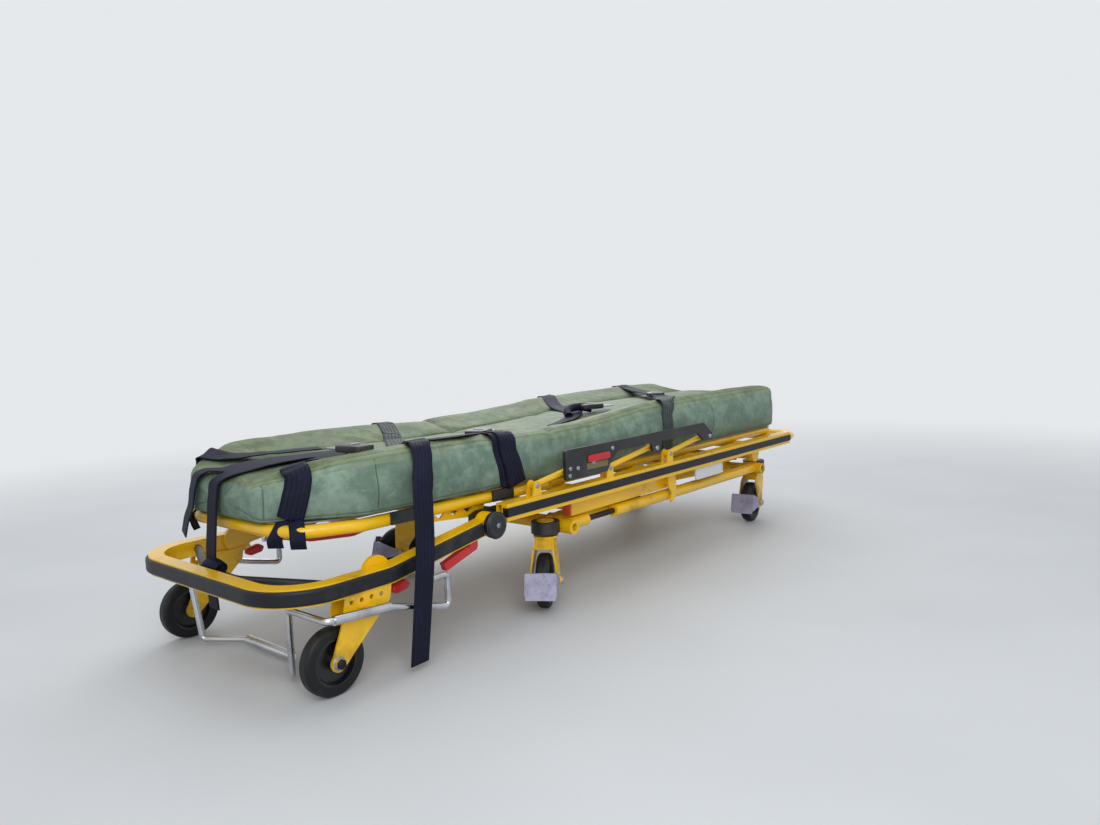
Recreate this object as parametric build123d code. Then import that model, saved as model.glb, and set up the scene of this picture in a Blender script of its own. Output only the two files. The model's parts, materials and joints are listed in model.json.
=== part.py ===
from build123d import *
import os
from math import asin, atan2, cos, degrees, hypot, radians, sin, sqrt, tan

# Wheeled ambulance stretcher, lowered. Millimetres, +Z up, head end towards -X.
# The origin lies on the floor under the middle of the stretcher.

# Stations along the stretcher
LOAD_AXLE_X = -900.0
DROP_PIVOT_X = -505.0
BACK_HINGE_X = -250.0
BASE_HEAD_X = -236.0
SCISSOR_X = 720.0
RAIL_HEAD_X = -471.0
RAIL_FOOT_X = 905.0
HANDLE_REACH = 98.0
HANDLE_R = 12.0
HANDLE_BEND = 80.0

# Sections of the rails of the litter and of the drop frame
RAIL_DEPTH = 32.0
RAIL_HEIGHT = 37.0
RAIL_WALL = 3.0
GROOVE_HEIGHT = 20.0
GROOVE_DEPTH = 13.0
BUMPER_PROUD = 3.0
HOOP_DEPTH = 30.0
HOOP_HEIGHT = 34.0
HOOP_WALL = 3.0
HOOP_WEB = 4.0
HOOP_BUMPER_PROUD = 6.0
HOOP_FRONT_REACH = 109.0
HOOP_BEND_X = -790.0
HOOP_CORNER_R = 100.0
HOOP_BEND_R = 200.0
BOSS_R = 28.0
BOSS_T = 12.0
PIVOT_R = 10.0
PIN_GAP = 0.3

# Litter tubes
CROSS_R = 11.0
DECK_R = 10.5
WELD = 0.5
PANEL_T = 3.0
PANEL_EDGE = 10.0
HINGE_R = 9.0
CROSS_STATIONS = (-200.0, 90.0, 370.0, 660.0, 880.0)
DECK_SLOTS = (-160.0, -60.0, 40.0, 140.0, 240.0, 340.0, 440.0, 540.0, 640.0, 740.0)
SLOT_LENGTH = 70.0
SLOT_W = 24.0
SLOT_SPACING = 110.0

# Crossed legs: each leg is pinned at the foot end and rolls in a track at the head end
LEG_LENGTH = 916.0
LEG_W = 18.0
LEG_H = 24.0
LEG_EYE_R = 16.0
SHAFT_R = 9.0
ROLLER_R = 12.0
ROLLER_W = 14.0
LEG_PIN_R = 8.0
TRACK_WALL = 4.0
TRACK_W = 26.0
ROLLER_GAP = 1.0
TRACK_HALF = ROLLER_R + ROLLER_GAP + TRACK_WALL
LITTER_TRACK_HEAD_X = -214.0
LITTER_TRACK_FOOT_X = 215.0
BASE_TRACK_FOOT_X = 110.0
HANGER_L = 30.0

# Base
BASE_TUBE_R = 13.0
SIDE_TUBE_R = 15.0
TEE_R = 17.0
TEE_STEM = 84.0
TEE_BORE_R = 9.0
TEE_BORE_LENGTH = 30.0
WEB_HALF = 12.0
ROD_R = 7.0
ROD_LAP_HEAD = 20.0
ROD_LAP_FOOT = 40.0
SIDE_TUBE_HEAD_X = -40.0

# Heights above the floor, stacked up from the tubes of the base
BASE_Z = 175.0
STACK_GAP = 5.0
TRACK_HANG = 6.0
CROSS_RISE = 4.5
PIVOT_DROP = 19.5
HOOP_DROP = 42.0
SEAT_GAP = 0.5
TRACK_Z = BASE_Z + SIDE_TUBE_R + STACK_GAP + TRACK_HALF
RAIL_Z = TRACK_Z + TRACK_HALF + TRACK_HANG + RAIL_HEIGHT / 2
RAIL_TOP = RAIL_Z + RAIL_HEIGHT / 2
RAIL_LOW = RAIL_Z - RAIL_HEIGHT / 2
DROP_PIVOT_Z = RAIL_Z - PIVOT_DROP
HOOP_Z = DROP_PIVOT_Z - HOOP_DROP
CROSS_Z = RAIL_Z + CROSS_RISE
DECK_Z = CROSS_Z + CROSS_R + DECK_R - WELD
DECK_TOP = DECK_Z + DECK_R
MATTRESS_BOTTOM = DECK_TOP + PANEL_T + SEAT_GAP

# Mattress
MATTRESS_HALF = 250.0
MATTRESS_T = 127.0
TROUGH_DEPTH = 34.0
TROUGH_HALF = 95.0
BOLSTER_HALF = 170.0
MATTRESS_HEAD_X = -948.0
MATTRESS_FOOT_X = 895.0
HEAD_HALF = 120.0
HEAD_DROP = 45.0
HEAD_SLOPE_L = 68.0
TAPER_X = -800.0
PLAN_R = 40.0
FOLD_HALF_ANGLE = 36.5
FOLD_GAP = 0.5

# Half spacings across the stretcher, all led from the width of the mattress
RAIL_CLEAR = 15.0
RAIL_INNER_Y = MATTRESS_HALF + RAIL_CLEAR
RAIL_OUTER_Y = RAIL_INNER_Y + RAIL_DEPTH
HOOP_INNER_Y = RAIL_INNER_Y - 11.0
HOOP_OUTER_Y = HOOP_INNER_Y + HOOP_DEPTH
HOOP_MID_Y = HOOP_INNER_Y + HOOP_DEPTH / 2
CASTING_T = 16.0
CASTING_Y = HOOP_INNER_Y - 2.0 - CASTING_T
DECK_Y = MATTRESS_HALF - 25.0
BACK_Y = MATTRESS_HALF - 18.0
LITTER_TRACK_Y = RAIL_INNER_Y - 3.0 - TRACK_W / 2
BASE_TRACK_Y = LITTER_TRACK_Y - TRACK_W - 12.0
OUTER_LEG_Y = BASE_TRACK_Y - TRACK_W / 2 - 4.0 - LEG_W / 2
INNER_LEG_Y = OUTER_LEG_Y - LEG_W - 12.0
SIDE_TUBE_Y = RAIL_INNER_Y - 10.0
TEE_START_Y = SIDE_TUBE_Y - 29.0
TEE_END_Y = SIDE_TUBE_Y + 33.0
CASTER_Y = SIDE_TUBE_Y - 20.0

# Backrest
BACK_R = 12.5
BACK_Z = DECK_TOP - BACK_R
BACK_TILT = 0.8
BACK_OUTLINE = (
    (-274.0, BACK_Y),
    (-800.0, BACK_Y),
    (-900.0, BACK_Y - 42.0),
    (-925.0, BACK_Y - 107.0),
)
BACK_BEND = 50.0
RUNG_R = 8.0
RUNG_STATIONS = (-340.0, -480.0, -640.0, -790.0)
TRUSS_T = 5.0
TRUSS_HOLES = (-600.0, -560.0, -520.0)
BACK_SLOTS = (-360.0, -460.0, -560.0, -660.0, -760.0, -860.0)
EYE_W = 22.0
EYE_Y = BACK_Y - 37.0
RELEASE_R = 6.0
# station, distance in from the tube, distance below it
RELEASE_OUTLINE = (
    (-772.0, 4.0, 5.0),
    (-794.0, 34.0, 20.0),
    (-842.0, 98.0, 29.0),
    (-866.0, 178.0, 31.0),
)

# Webbing
WEB_W = 50.0
WEB_T = 2.5
WEB_GAP = 0.4
CHEST_STRAP_X = -708.0
WAIST_STRAP_X = -430.0
THIGH_STRAP_X = 250.0
SHIN_STRAP_X = 720.0
SHOULDER_STRAP_Y = 56.0
TAIL_Y = RAIL_OUTER_Y + 15.0
TAIL_BOTTOM_Z = 8.0
ANCHOR_T = 5.0
ANCHOR_W = 64.0
ANCHOR_LOW = RAIL_TOP - 4.0

# Casters
CASTER_OFFSET = 44.0
CASTER_R = 62.5
CASTER_W = 30.0
CASTER_TRAIL = 38.0
KINGPIN_R = 10.0
CROWN_Z = BASE_Z - 15.0
CROWN_T = 5.0
CROWN_R = 29.0
FORK_T = 4.0
FORK_GAP = 2.0
FORK_FLARE = 12.0
APRON_Z = CROWN_Z - 26.0
APRON_T = 4.0
APRON_REACH = 18.0
RING_R = 34.0
RING_TOP_Z = BASE_Z + 20.0
RING_GAP = 6.0
CORE_R = 20.0
AXLE_R = 6.0
NUT_R = 9.0
NUT_T = 6.0
PEDAL_T = 3.0
PEDAL_HALF = 34.0
PEDAL_LOW_Z = 39.0
PEDAL_TOP_Z = 98.0
PEDAL_LEAN = 12.0
PEDAL_GAP = 5.0
# name, end of the base, side, direction in degrees in which the wheel trails
CASTERS = (
    ("head_near", BASE_HEAD_X - CASTER_OFFSET, -1, 213.0),
    ("head_far", BASE_HEAD_X - CASTER_OFFSET, 1, 139.0),
    ("foot_near", SCISSOR_X + CASTER_OFFSET, -1, 188.0),
    ("foot_far", SCISSOR_X + CASTER_OFFSET, 1, 171.0),
)

# Load wheels and their brackets
LOAD_R = 62.5
LOAD_W = 28.0
LOAD_Y = HOOP_MID_Y - 7.0
LOAD_HUB_R = 44.0
BRACKET_T = 4.0
BRACKET_GAP = 3.0
BRACKET_IN = LOAD_Y - LOAD_W / 2 - BRACKET_GAP
BRACKET_OUT = LOAD_Y + LOAD_W / 2 + BRACKET_GAP
BRACKET_HEAD_X = LOAD_AXLE_X + 22.0
BRACKET_FOOT_X = LOAD_AXLE_X + 124.0
BRACKET_TOP_Z = HOOP_Z - HOOP_HEIGHT / 2 - 4.0
BRACKET_HOLES = (12.0, 34.0, 56.0, 78.0)
BAR_R = 6.5
SLEEVE_R = 9.0
BAR_Y = BRACKET_OUT + BRACKET_T + 17.0
SLEEVE_HEAD = (LOAD_AXLE_X - 18.0, BRACKET_TOP_Z - 22.4)
SLEEVE_FOOT = (LOAD_AXLE_X + 104.0, BRACKET_TOP_Z - 30.5)

# Side rails that fold
LUG_STATIONS = (-365.0, -93.0, 179.0)
POST_RISE = 23.0
POST_PIVOT_Z = RAIL_TOP + POST_RISE
POST_LENGTH = 190.0
POST_ANGLE = 8.0
POST_Y = RAIL_INNER_Y + 15.0
POST_R = 7.0
POST_EYE_R = 9.0
POST_EYE_W = 13.0
POST_GAP = 0.5
EAR_T = 4.0
EAR_R = 11.0
EAR_PIN_R = 3.5
TOP_PIN_R = 4.0
BAR_PANEL_T = 8.0
BAR_PANEL_H = 50.0
BAR_PANEL_DROP = 20.0
BAR_PANEL_L = 158.0
BAR_RUN_H = 26.0
BAR_TAB_HALF = 17.0
BAR_GAP = 5.0
BAR_HEAD_X = -280.0
BAR_FOOT_X = 381.0

SLIDE_X = SCISSOR_X - sqrt(LEG_LENGTH**2 - (TRACK_Z - BASE_Z) ** 2)
LEG_MID_X = (SCISSOR_X + SLIDE_X) / 2
LEG_MID_Z = (TRACK_Z + BASE_Z) / 2
HOOP_RUN = DROP_PIVOT_X - HOOP_BEND_X
HOOP_RISE = DROP_PIVOT_Z - HOOP_Z - HOOP_BEND_R
HOOP_SLOPE = degrees(atan2(HOOP_RISE, HOOP_RUN) + asin(HOOP_BEND_R / hypot(HOOP_RISE, HOOP_RUN)))
MATTRESS_TOP = MATTRESS_BOTTOM + MATTRESS_T
TROUGH_Z = MATTRESS_TOP - TROUGH_DEPTH

NODES = {}


def keep(name, *shapes):
    """Gather the solids of a node."""
    solids = []
    for shape in shapes:
        solids += shape.solids()
    NODES[name] = solids


def rod(start, end, radius):
    """Round bar from one point to another."""
    run = Vector(*end) - Vector(*start)
    return Solid.make_cylinder(radius, run.length, Plane(origin=start, z_dir=run))


def slab(outline, y0, y1):
    """Flat plate whose outline is given in X and Z, between two values of Y."""
    face = make_face(Polyline(*[(x, y0, z) for x, z in outline], close=True))
    return extrude(face, amount=y1 - y0, dir=(0, 1, 0))


def rounded_slab(outline, y0, y1, radius):
    """The same, with its corners rounded."""
    face = make_face(FilletPolyline(*[(x, y0, z) for x, z in outline], radius=radius, close=True))
    return extrude(face, amount=y1 - y0, dir=(0, 1, 0))


def block(x0, x1, y0, y1, z0, z1):
    """Box between two corners."""
    return Pos((x0 + x1) / 2, (y0 + y1) / 2, (z0 + z1) / 2) * Box(x1 - x0, y1 - y0, z1 - z0)


def disc(x, z, radius, y0, y1):
    """Round plate whose axis lies across the stretcher."""
    return rod((x, y0, z), (x, y1, z), radius)


def bent_tube(points, radius, bend):
    """Round tube along straight runs joined by arcs."""
    path = FilletPolyline(*points, radius=bend)
    section = Plane(origin=path @ 0, z_dir=path % 0) * Circle(radius)
    return sweep(section, path=path)


def both_sides(shape):
    """The shape and its mirror image on the far side."""
    return shape, mirror(shape, about=Plane.XZ)


def rail_section(inner_y, mid_z, depth, height, groove_h, groove_d, wall):
    """Rail profile across X: a hollow web with a groove open outwards."""
    outer = Pos(inner_y + depth / 2, mid_z) * Rectangle(depth, height)
    groove = Pos(inner_y + depth - groove_d / 2, mid_z) * Rectangle(groove_d, groove_h)
    core_w = depth - groove_d - 2 * wall
    core = Pos(inner_y + wall + core_w / 2, mid_z) * Rectangle(core_w, height - 2 * wall)
    return outer - groove - core


def bumper_section(inner_y, mid_z, depth, groove_h, groove_d, proud):
    """Rubber strip that fills the groove and stands proud of it."""
    back = inner_y + depth - groove_d
    front = inner_y + depth + proud
    low = mid_z - groove_h / 2
    high = mid_z + groove_h / 2
    nose = FilletPolyline(
        (back, low), (front, low), (front, high), (back, high), radius=proud * 0.9
    )
    return make_face([nose, Line((back, high), (back, low))])


def along_x(section, x0, x1):
    """Extrude a profile drawn in Y and Z from one station to another."""
    plane = Plane(origin=(x0, 0, 0), x_dir=(0, 1, 0), z_dir=(1, 0, 0))
    return extrude(plane * section, amount=x1 - x0)


def side_rails():
    """Outer rails of the litter with their rubber strips."""
    rail = rail_section(
        RAIL_INNER_Y, RAIL_Z, RAIL_DEPTH, RAIL_HEIGHT, GROOVE_HEIGHT, GROOVE_DEPTH, RAIL_WALL
    )
    strip = bumper_section(
        RAIL_INNER_Y, RAIL_Z, RAIL_DEPTH, GROOVE_HEIGHT, GROOVE_DEPTH, BUMPER_PROUD
    )
    keep("side_rails", *both_sides(along_x(rail, RAIL_HEAD_X, RAIL_FOOT_X)))
    keep("rail_bumpers", *both_sides(along_x(strip, RAIL_HEAD_X, RAIL_FOOT_X)))


def hoop_solid(section):
    """Carry a profile round the head end and up to the pivots."""
    plane = Plane(origin=(HOOP_BEND_X, 0, 0), x_dir=(0, 1, 0), z_dir=(1, 0, 0))
    face = (plane * section).face()
    centre_x = HOOP_BEND_X
    corner_x = LOAD_AXLE_X - HOOP_FRONT_REACH + HOOP_DEPTH / 2
    path = FilletPolyline(
        (centre_x, HOOP_MID_Y, HOOP_Z),
        (corner_x, HOOP_MID_Y, HOOP_Z),
        (corner_x, -HOOP_MID_Y, HOOP_Z),
        (centre_x, -HOOP_MID_Y, HOOP_Z),
        radius=HOOP_CORNER_R,
    )
    front = sweep(face, path=path)
    bend_axis = Axis((HOOP_BEND_X, 0, HOOP_Z + HOOP_BEND_R), (0, -1, 0))
    bend = revolve(face, axis=bend_axis, revolution_arc=HOOP_SLOPE)
    top = bend.faces().sort_by(Axis.X)[-1]
    turn = radians(HOOP_SLOPE)
    start_x = HOOP_BEND_X + HOOP_BEND_R * sin(turn)
    length = (DROP_PIVOT_X - start_x) / cos(turn)
    arm = extrude(top, amount=length, dir=(cos(turn), 0, sin(turn)))
    arms = both_sides(Part() + [bend, arm])
    return Part() + [front, *arms]


def hoop():
    """Head hoop of the drop frame with its rubber strip and pivot eyes."""
    groove_h = HOOP_HEIGHT - 2 * HOOP_WALL
    groove_d = HOOP_DEPTH - 2 * HOOP_WALL - HOOP_WEB
    rail = rail_section(
        HOOP_INNER_Y, HOOP_Z, HOOP_DEPTH, HOOP_HEIGHT, groove_h, groove_d, HOOP_WALL
    )
    strip = bumper_section(
        HOOP_INNER_Y, HOOP_Z, HOOP_DEPTH, groove_h, groove_d, HOOP_BUMPER_PROUD
    )
    eye_y = (HOOP_INNER_Y + 2, HOOP_OUTER_Y)
    eye_r = BOSS_R - 2
    clear = []
    eyes = []
    for side in (-1, 1):
        y0, y1 = sorted((side * eye_y[0], side * eye_y[1]))
        eye = disc(DROP_PIVOT_X, DROP_PIVOT_Z, eye_r, y0, y1)
        eyes.append(eye - disc(DROP_PIVOT_X, DROP_PIVOT_Z, PIVOT_R + PIN_GAP, y0 - 1, y1 + 1))
        y0, y1 = sorted((side * (HOOP_INNER_Y - 5), side * (HOOP_OUTER_Y + 20)))
        clear.append(disc(DROP_PIVOT_X, DROP_PIVOT_Z, eye_r - 0.5, y0, y1))
    frame = hoop_solid(rail) - clear
    keep("hoop", Part() + [frame, *eyes])
    clear = []
    for side in (-1, 1):
        y0, y1 = sorted((side * (HOOP_INNER_Y - 5), side * (HOOP_OUTER_Y + 20)))
        clear.append(disc(DROP_PIVOT_X, DROP_PIVOT_Z, BOSS_R + 4, y0, y1))
    keep("hoop_bumper", hoop_solid(strip) - clear)


def hoop_strut():
    """Bowed black strut between the load-wheel brackets."""
    mid = LOAD_AXLE_X - 58
    web = HOOP_INNER_Y
    points = (
        (LOAD_AXLE_X + 25, -web, HOOP_Z),
        (mid, -60, HOOP_Z),
        (mid, 60, HOOP_Z),
        (LOAD_AXLE_X + 25, web, HOOP_Z),
    )
    strut = bent_tube(points, 8, 60)
    inside = block(LOAD_AXLE_X - 200, LOAD_AXLE_X + 100, -web, web, 0, 400)
    keep("hoop_strut", strut & inside)


def wheel_brackets():
    """Forked brackets that hang the load wheels from the hoop."""
    eye_r = 16.0
    lean = atan2(BRACKET_TOP_Z - LOAD_R, BRACKET_FOOT_X - LOAD_AXLE_X)
    cheek = (
        (BRACKET_HEAD_X, BRACKET_TOP_Z),
        (BRACKET_FOOT_X, BRACKET_TOP_Z),
        (BRACKET_FOOT_X - 4, BRACKET_TOP_Z - 22),
        (LOAD_AXLE_X + eye_r * sin(lean), LOAD_R - eye_r * cos(lean)),
        (LOAD_AXLE_X - eye_r * sin(lean), LOAD_R + eye_r * cos(lean)),
        (BRACKET_HEAD_X - 10, BRACKET_TOP_Z - 42),
    )
    roof_z = HOOP_Z - HOOP_HEIGHT / 2
    inside = BRACKET_IN - BRACKET_T
    outside = BRACKET_OUT + BRACKET_T
    parts = []
    for y0, y1 in ((inside, BRACKET_IN), (BRACKET_OUT, outside)):
        parts.append(slab(cheek, y0, y1))
        parts.append(disc(LOAD_AXLE_X, LOAD_R, eye_r, y0, y1))
    parts.append(block(BRACKET_HEAD_X, BRACKET_FOOT_X, inside, outside, BRACKET_TOP_Z, roof_z))
    parts.append(disc(LOAD_AXLE_X, LOAD_R, AXLE_R, inside, outside))
    parts.append(disc(LOAD_AXLE_X, LOAD_R, NUT_R, inside - NUT_T, inside))
    parts.append(disc(LOAD_AXLE_X, LOAD_R, NUT_R, outside, outside + NUT_T))
    ear_y0, ear_y1 = HOOP_INNER_Y - 9, HOOP_INNER_Y - 1
    parts.append(disc(BRACKET_FOOT_X - 9, HOOP_Z + 3, 32, ear_y0, ear_y1))
    parts.append(
        block(BRACKET_FOOT_X - 24, BRACKET_FOOT_X + 20, ear_y0, BRACKET_IN + 6, BRACKET_TOP_Z, roof_z)
    )
    clamp_z = BRACKET_TOP_Z - 25
    clamp = block(BRACKET_HEAD_X + 20, BRACKET_HEAD_X + 50, outside, BAR_Y, clamp_z - 7, clamp_z + 7)
    (x0, z0), (x1, z1) = SLEEVE_HEAD, SLEEVE_FOOT
    parts.append(clamp - rod((x0, BAR_Y, z0), (x1, BAR_Y, z1), SLEEVE_R))
    bracket = Part() + parts
    for hole in BRACKET_HOLES:
        bracket -= disc(BRACKET_HEAD_X + hole, BRACKET_TOP_Z - 8, 4.5, BRACKET_OUT - 1, outside + 1)
    keep("wheel_brackets", *both_sides(bracket))


def wheel_tyre(radius, hub_r, width, x, y, z):
    """Ring with rounded shoulders about an axis across the stretcher."""
    ring = Cylinder(radius, width) - Cylinder(hub_r, width + 1)
    crown = ring.edges().filter_by(GeomType.CIRCLE).group_by(SortBy.RADIUS)[-1]
    ring = fillet(crown, width * 0.28)
    return Pos(x, y, z) * (Rot(90, 0, 0) * ring)


def wheel_hub(rim_r, bore_r, width, x, y, z):
    """Hub turned from one profile: rim, thin web and boss."""
    half = width / 2
    profile = Polyline(
        (bore_r, -half), (bore_r + 9, -half), (bore_r + 9, -5), (rim_r - 8, -5),
        (rim_r - 4, -half + 3), (rim_r, -half + 3), (rim_r, half - 3), (rim_r - 4, half - 3),
        (rim_r - 8, 5), (bore_r + 9, 5), (bore_r + 9, half), (bore_r, half), close=True,
    )
    face = Plane.XZ * make_face(profile)
    hub = revolve(face, axis=Axis.Z)
    return Pos(x, y, z) * (Rot(90, 0, 0) * hub)


def load_wheels():
    """Load wheels under the head end."""
    for name, side in (("near", -1), ("far", 1)):
        place = (LOAD_AXLE_X, side * LOAD_Y, LOAD_R)
        keep("load_tyre_" + name, wheel_tyre(LOAD_R, LOAD_HUB_R, LOAD_W, *place))
        hub_w = LOAD_W + 2 * BRACKET_GAP - 1
        keep("load_hub_" + name, wheel_hub(LOAD_HUB_R, AXLE_R + PIN_GAP, hub_w, *place))


def safety_bar():
    """Chrome bar that goes over both load wheels and down to the cross tube."""
    (x0, z0), (x1, z1) = SLEEVE_HEAD, SLEEVE_FOOT
    hook_x = LOAD_AXLE_X + 248
    low_x = LOAD_AXLE_X + 32
    low_z = 20.0
    near = [
        (hook_x - 40, -BAR_Y, z1 + 26),
        (hook_x, -BAR_Y, z1 + 26),
        (hook_x, -BAR_Y, z1 - 38),
        (x1 + 70, -BAR_Y, z1 - 20),
        (x1, -BAR_Y, z1),
        (x0 - 14, -BAR_Y, z0 + 0.9),
        (x0 - 14, -LOAD_Y + 80, z0 + 0.9),
        (x0 - 4, -LOAD_Y + 96, low_z),
        (low_x, -84.0, low_z),
    ]
    far = [(x, -y, z) for x, y, z in reversed(near)]
    pieces = [bent_tube(near + far, BAR_R, 9)]
    for side in (-1, 1):
        pieces.append(rod((x0, side * BAR_Y, z0), (x1, side * BAR_Y, z1), SLEEVE_R))
    pieces.append(rod((low_x, -80.0, low_z), (low_x, 80.0, low_z), BAR_R + 3.5))
    keep("safety_bar", Part() + pieces)


def release_levers():
    """Red levers below the pivots and behind the load wheels."""
    slope = tan(radians(HOOP_SLOPE))
    low = HOOP_HEIGHT / 2 / cos(radians(HOOP_SLOPE)) + PIN_GAP
    x = DROP_PIVOT_X - 40
    z = DROP_PIVOT_Z - 40 * slope - low
    y0, y1 = HOOP_OUTER_Y - 20, HOOP_OUTER_Y - 4
    lug = slab(((x, z), (x, z - 16), (x - 22, z - 16), (x - 22, z - 22 * slope)), y0, y1)
    outline = ((x, z - 6), (x - 2, z - 20), (x - 88, z - 46), (x - 94, z - 30), (x - 30, z - 10))
    grip = slab(outline, y0 + 1, y1 - 1)
    keep("release_levers", *both_sides(Part() + [lug, grip]))


def pivot_castings():
    """Castings at the rail heads that carry the drop-frame pins."""
    x, z = DROP_PIVOT_X, DROP_PIVOT_Z
    top = RAIL_Z + 6.5
    plate = (
        (x - 22, z - 16),
        (x + 5, z - 24),
        (x + 80, z - 2),
        (x + 85, top),
        (x, top),
        (x - 22, z + 18),
    )
    tube_x = x + 60
    plate_out = CASTING_Y + CASTING_T
    boss_y = HOOP_OUTER_Y + 3
    pieces = [slab(plate, CASTING_Y, plate_out)]
    pieces.append(block(tube_x - 23, tube_x + 23, plate_out - 2, RAIL_INNER_Y, RAIL_Z - 16, top - 2))
    pieces.append(disc(x, z, PIVOT_R, CASTING_Y + 4, boss_y))
    tube = disc(tube_x, z + 8, CROSS_R, -CASTING_Y - 1, CASTING_Y + 1)
    keep("pivot_castings", Part() + [*both_sides(Part() + pieces), tube])
    keep("pivot_bosses", *both_sides(disc(x, z, BOSS_R, boss_y, boss_y + BOSS_T)))


def post_lugs():
    """Pairs of ears on the rails in which the posts of the side bars turn."""
    lugs = []
    gap = POST_EYE_W / 2 + POST_GAP
    pin = gap + EAR_T
    for x in LUG_STATIONS:
        outline = (
            (x - EAR_R - 4, RAIL_TOP),
            (x + EAR_R + 2, RAIL_TOP),
            (x + EAR_R, POST_PIVOT_Z),
            (x - EAR_R, POST_PIVOT_Z),
        )
        for inner in (POST_Y - gap - EAR_T, POST_Y + gap):
            lugs.append(slab(outline, inner, inner + EAR_T))
            lugs.append(disc(x, POST_PIVOT_Z, EAR_R, inner, inner + EAR_T))
        lugs.append(disc(x, POST_PIVOT_Z, EAR_PIN_R, POST_Y - pin, POST_Y + pin))
    keep("post_lugs", *both_sides(Part() + lugs))


def deck_frame():
    """Cross tubes between the rails and the frame under the mattress."""
    pieces = []
    for x in CROSS_STATIONS:
        pieces.append(disc(x, CROSS_Z, CROSS_R, -RAIL_INNER_Y, RAIL_INNER_Y))
    foot_x = CROSS_STATIONS[-1]
    for y in (-DECK_Y, DECK_Y):
        pieces.append(rod((BACK_HINGE_X, y, DECK_Z), (foot_x, y, DECK_Z), DECK_R))
    pieces.append(disc(BACK_HINGE_X, DECK_Z, HINGE_R, -DECK_Y, DECK_Y))
    keep("deck_frame", Part() + pieces)
    half = DECK_Y + PANEL_EDGE
    panel = block(BACK_HINGE_X + 24, foot_x, -half, half, DECK_TOP, DECK_TOP + PANEL_T)
    keep("deck_panel", panel - slots(DECK_SLOTS))


def slots(stations):
    """Rounded slots that lighten a panel, three at each station."""
    cuts = []
    for x in stations:
        for y in (-SLOT_SPACING, 0, SLOT_SPACING):
            slot = extrude(SlotOverall(SLOT_LENGTH, SLOT_W), amount=PANEL_T, both=True)
            cuts.append(Pos(x, y, DECK_TOP) * slot)
    return cuts


def litter_tracks():
    """Open channels under the rails in which the inner legs roll."""
    channel = track(LITTER_TRACK_Y, TRACK_Z, LITTER_TRACK_HEAD_X, LITTER_TRACK_FOOT_X)
    top = TRACK_Z + TRACK_HALF
    outer = LITTER_TRACK_Y + TRACK_W / 2
    pieces = [channel]
    for x0 in (LITTER_TRACK_HEAD_X + TRACK_WALL, LITTER_TRACK_FOOT_X - HANGER_L - TRACK_WALL):
        pieces.append(block(x0, x0 + HANGER_L, outer - 10, outer + 12, top - 1, RAIL_LOW))
    x = LITTER_TRACK_FOOT_X
    z = RAIL_LOW
    hook = ((x - 35, z), (x, z), (x + 7, z - 30), (x - 1, z - 67), (x - 19, z - 79),
            (x - 25, z - 69), (x - 15, z - 53), (x - 31, z - 35))
    hook_y = outer + 14
    pieces.append(slab(hook, hook_y, hook_y + 5))
    pieces.append(block(x - 29, x - 3, outer - 1, hook_y + 1, top - 20, top - 4))
    keep("litter_tracks", *both_sides(Part() + pieces))


def track(mid_y, mid_z, x0, x1):
    """Channel that is open towards the middle of the stretcher."""
    y0, y1 = mid_y - TRACK_W / 2, mid_y + TRACK_W / 2
    outer = block(x0, x1, y0, y1, mid_z - TRACK_HALF, mid_z + TRACK_HALF)
    return outer - track_hollow(mid_y, mid_z, x0 + TRACK_WALL, x1)


def track_hollow(mid_y, mid_z, x0, x1):
    """Room inside a channel for its roller."""
    inside = TRACK_HALF - TRACK_WALL
    y0, y1 = mid_y - TRACK_W / 2 - 1, mid_y + TRACK_W / 2 - TRACK_WALL
    return block(x0, x1 + 1, y0, y1, mid_z - inside, mid_z + inside)


def scissor_mount():
    """Fixed shaft of the outer legs and the brackets that hang it from the rails."""
    outline = (
        (SCISSOR_X - 40, RAIL_LOW + 28),
        (SCISSOR_X + 40, RAIL_LOW + 28),
        (SCISSOR_X + 16, TRACK_Z - 8),
        (SCISSOR_X - 16, TRACK_Z - 8),
    )
    bracket = slab(outline, RAIL_INNER_Y - 14, RAIL_INNER_Y)
    boss = disc(SCISSOR_X, TRACK_Z, SHAFT_R + 8, RAIL_INNER_Y - 22, RAIL_INNER_Y)
    shaft = disc(SCISSOR_X, TRACK_Z, SHAFT_R, -RAIL_INNER_Y, RAIL_INNER_Y)
    keep("scissor_mount", Part() + [*both_sides(Part() + [bracket, boss]), shaft])


def foot_handle():
    """Lifting handle across the foot end."""
    y = RAIL_INNER_Y + RAIL_DEPTH / 2
    end_x = RAIL_FOOT_X + HANDLE_REACH
    points = (
        (RAIL_FOOT_X, -y, RAIL_Z),
        (end_x, -y, RAIL_Z),
        (end_x, y, RAIL_Z),
        (RAIL_FOOT_X, y, RAIL_Z),
    )
    keep("foot_handle", bent_tube(points, HANDLE_R, HANDLE_BEND))


def cover_plates():
    """Blank covers below the rails."""
    z = RAIL_LOW
    y = RAIL_INNER_Y + 21
    plate = rounded_slab(((310, z), (462, z), (462, z - 34), (310, z - 34)), y, y + 4, 8)
    lug = block(330, 440, y - 6, y, z - 14, z)
    keep("cover_plates", *both_sides(Part() + [plate, lug]))


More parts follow.
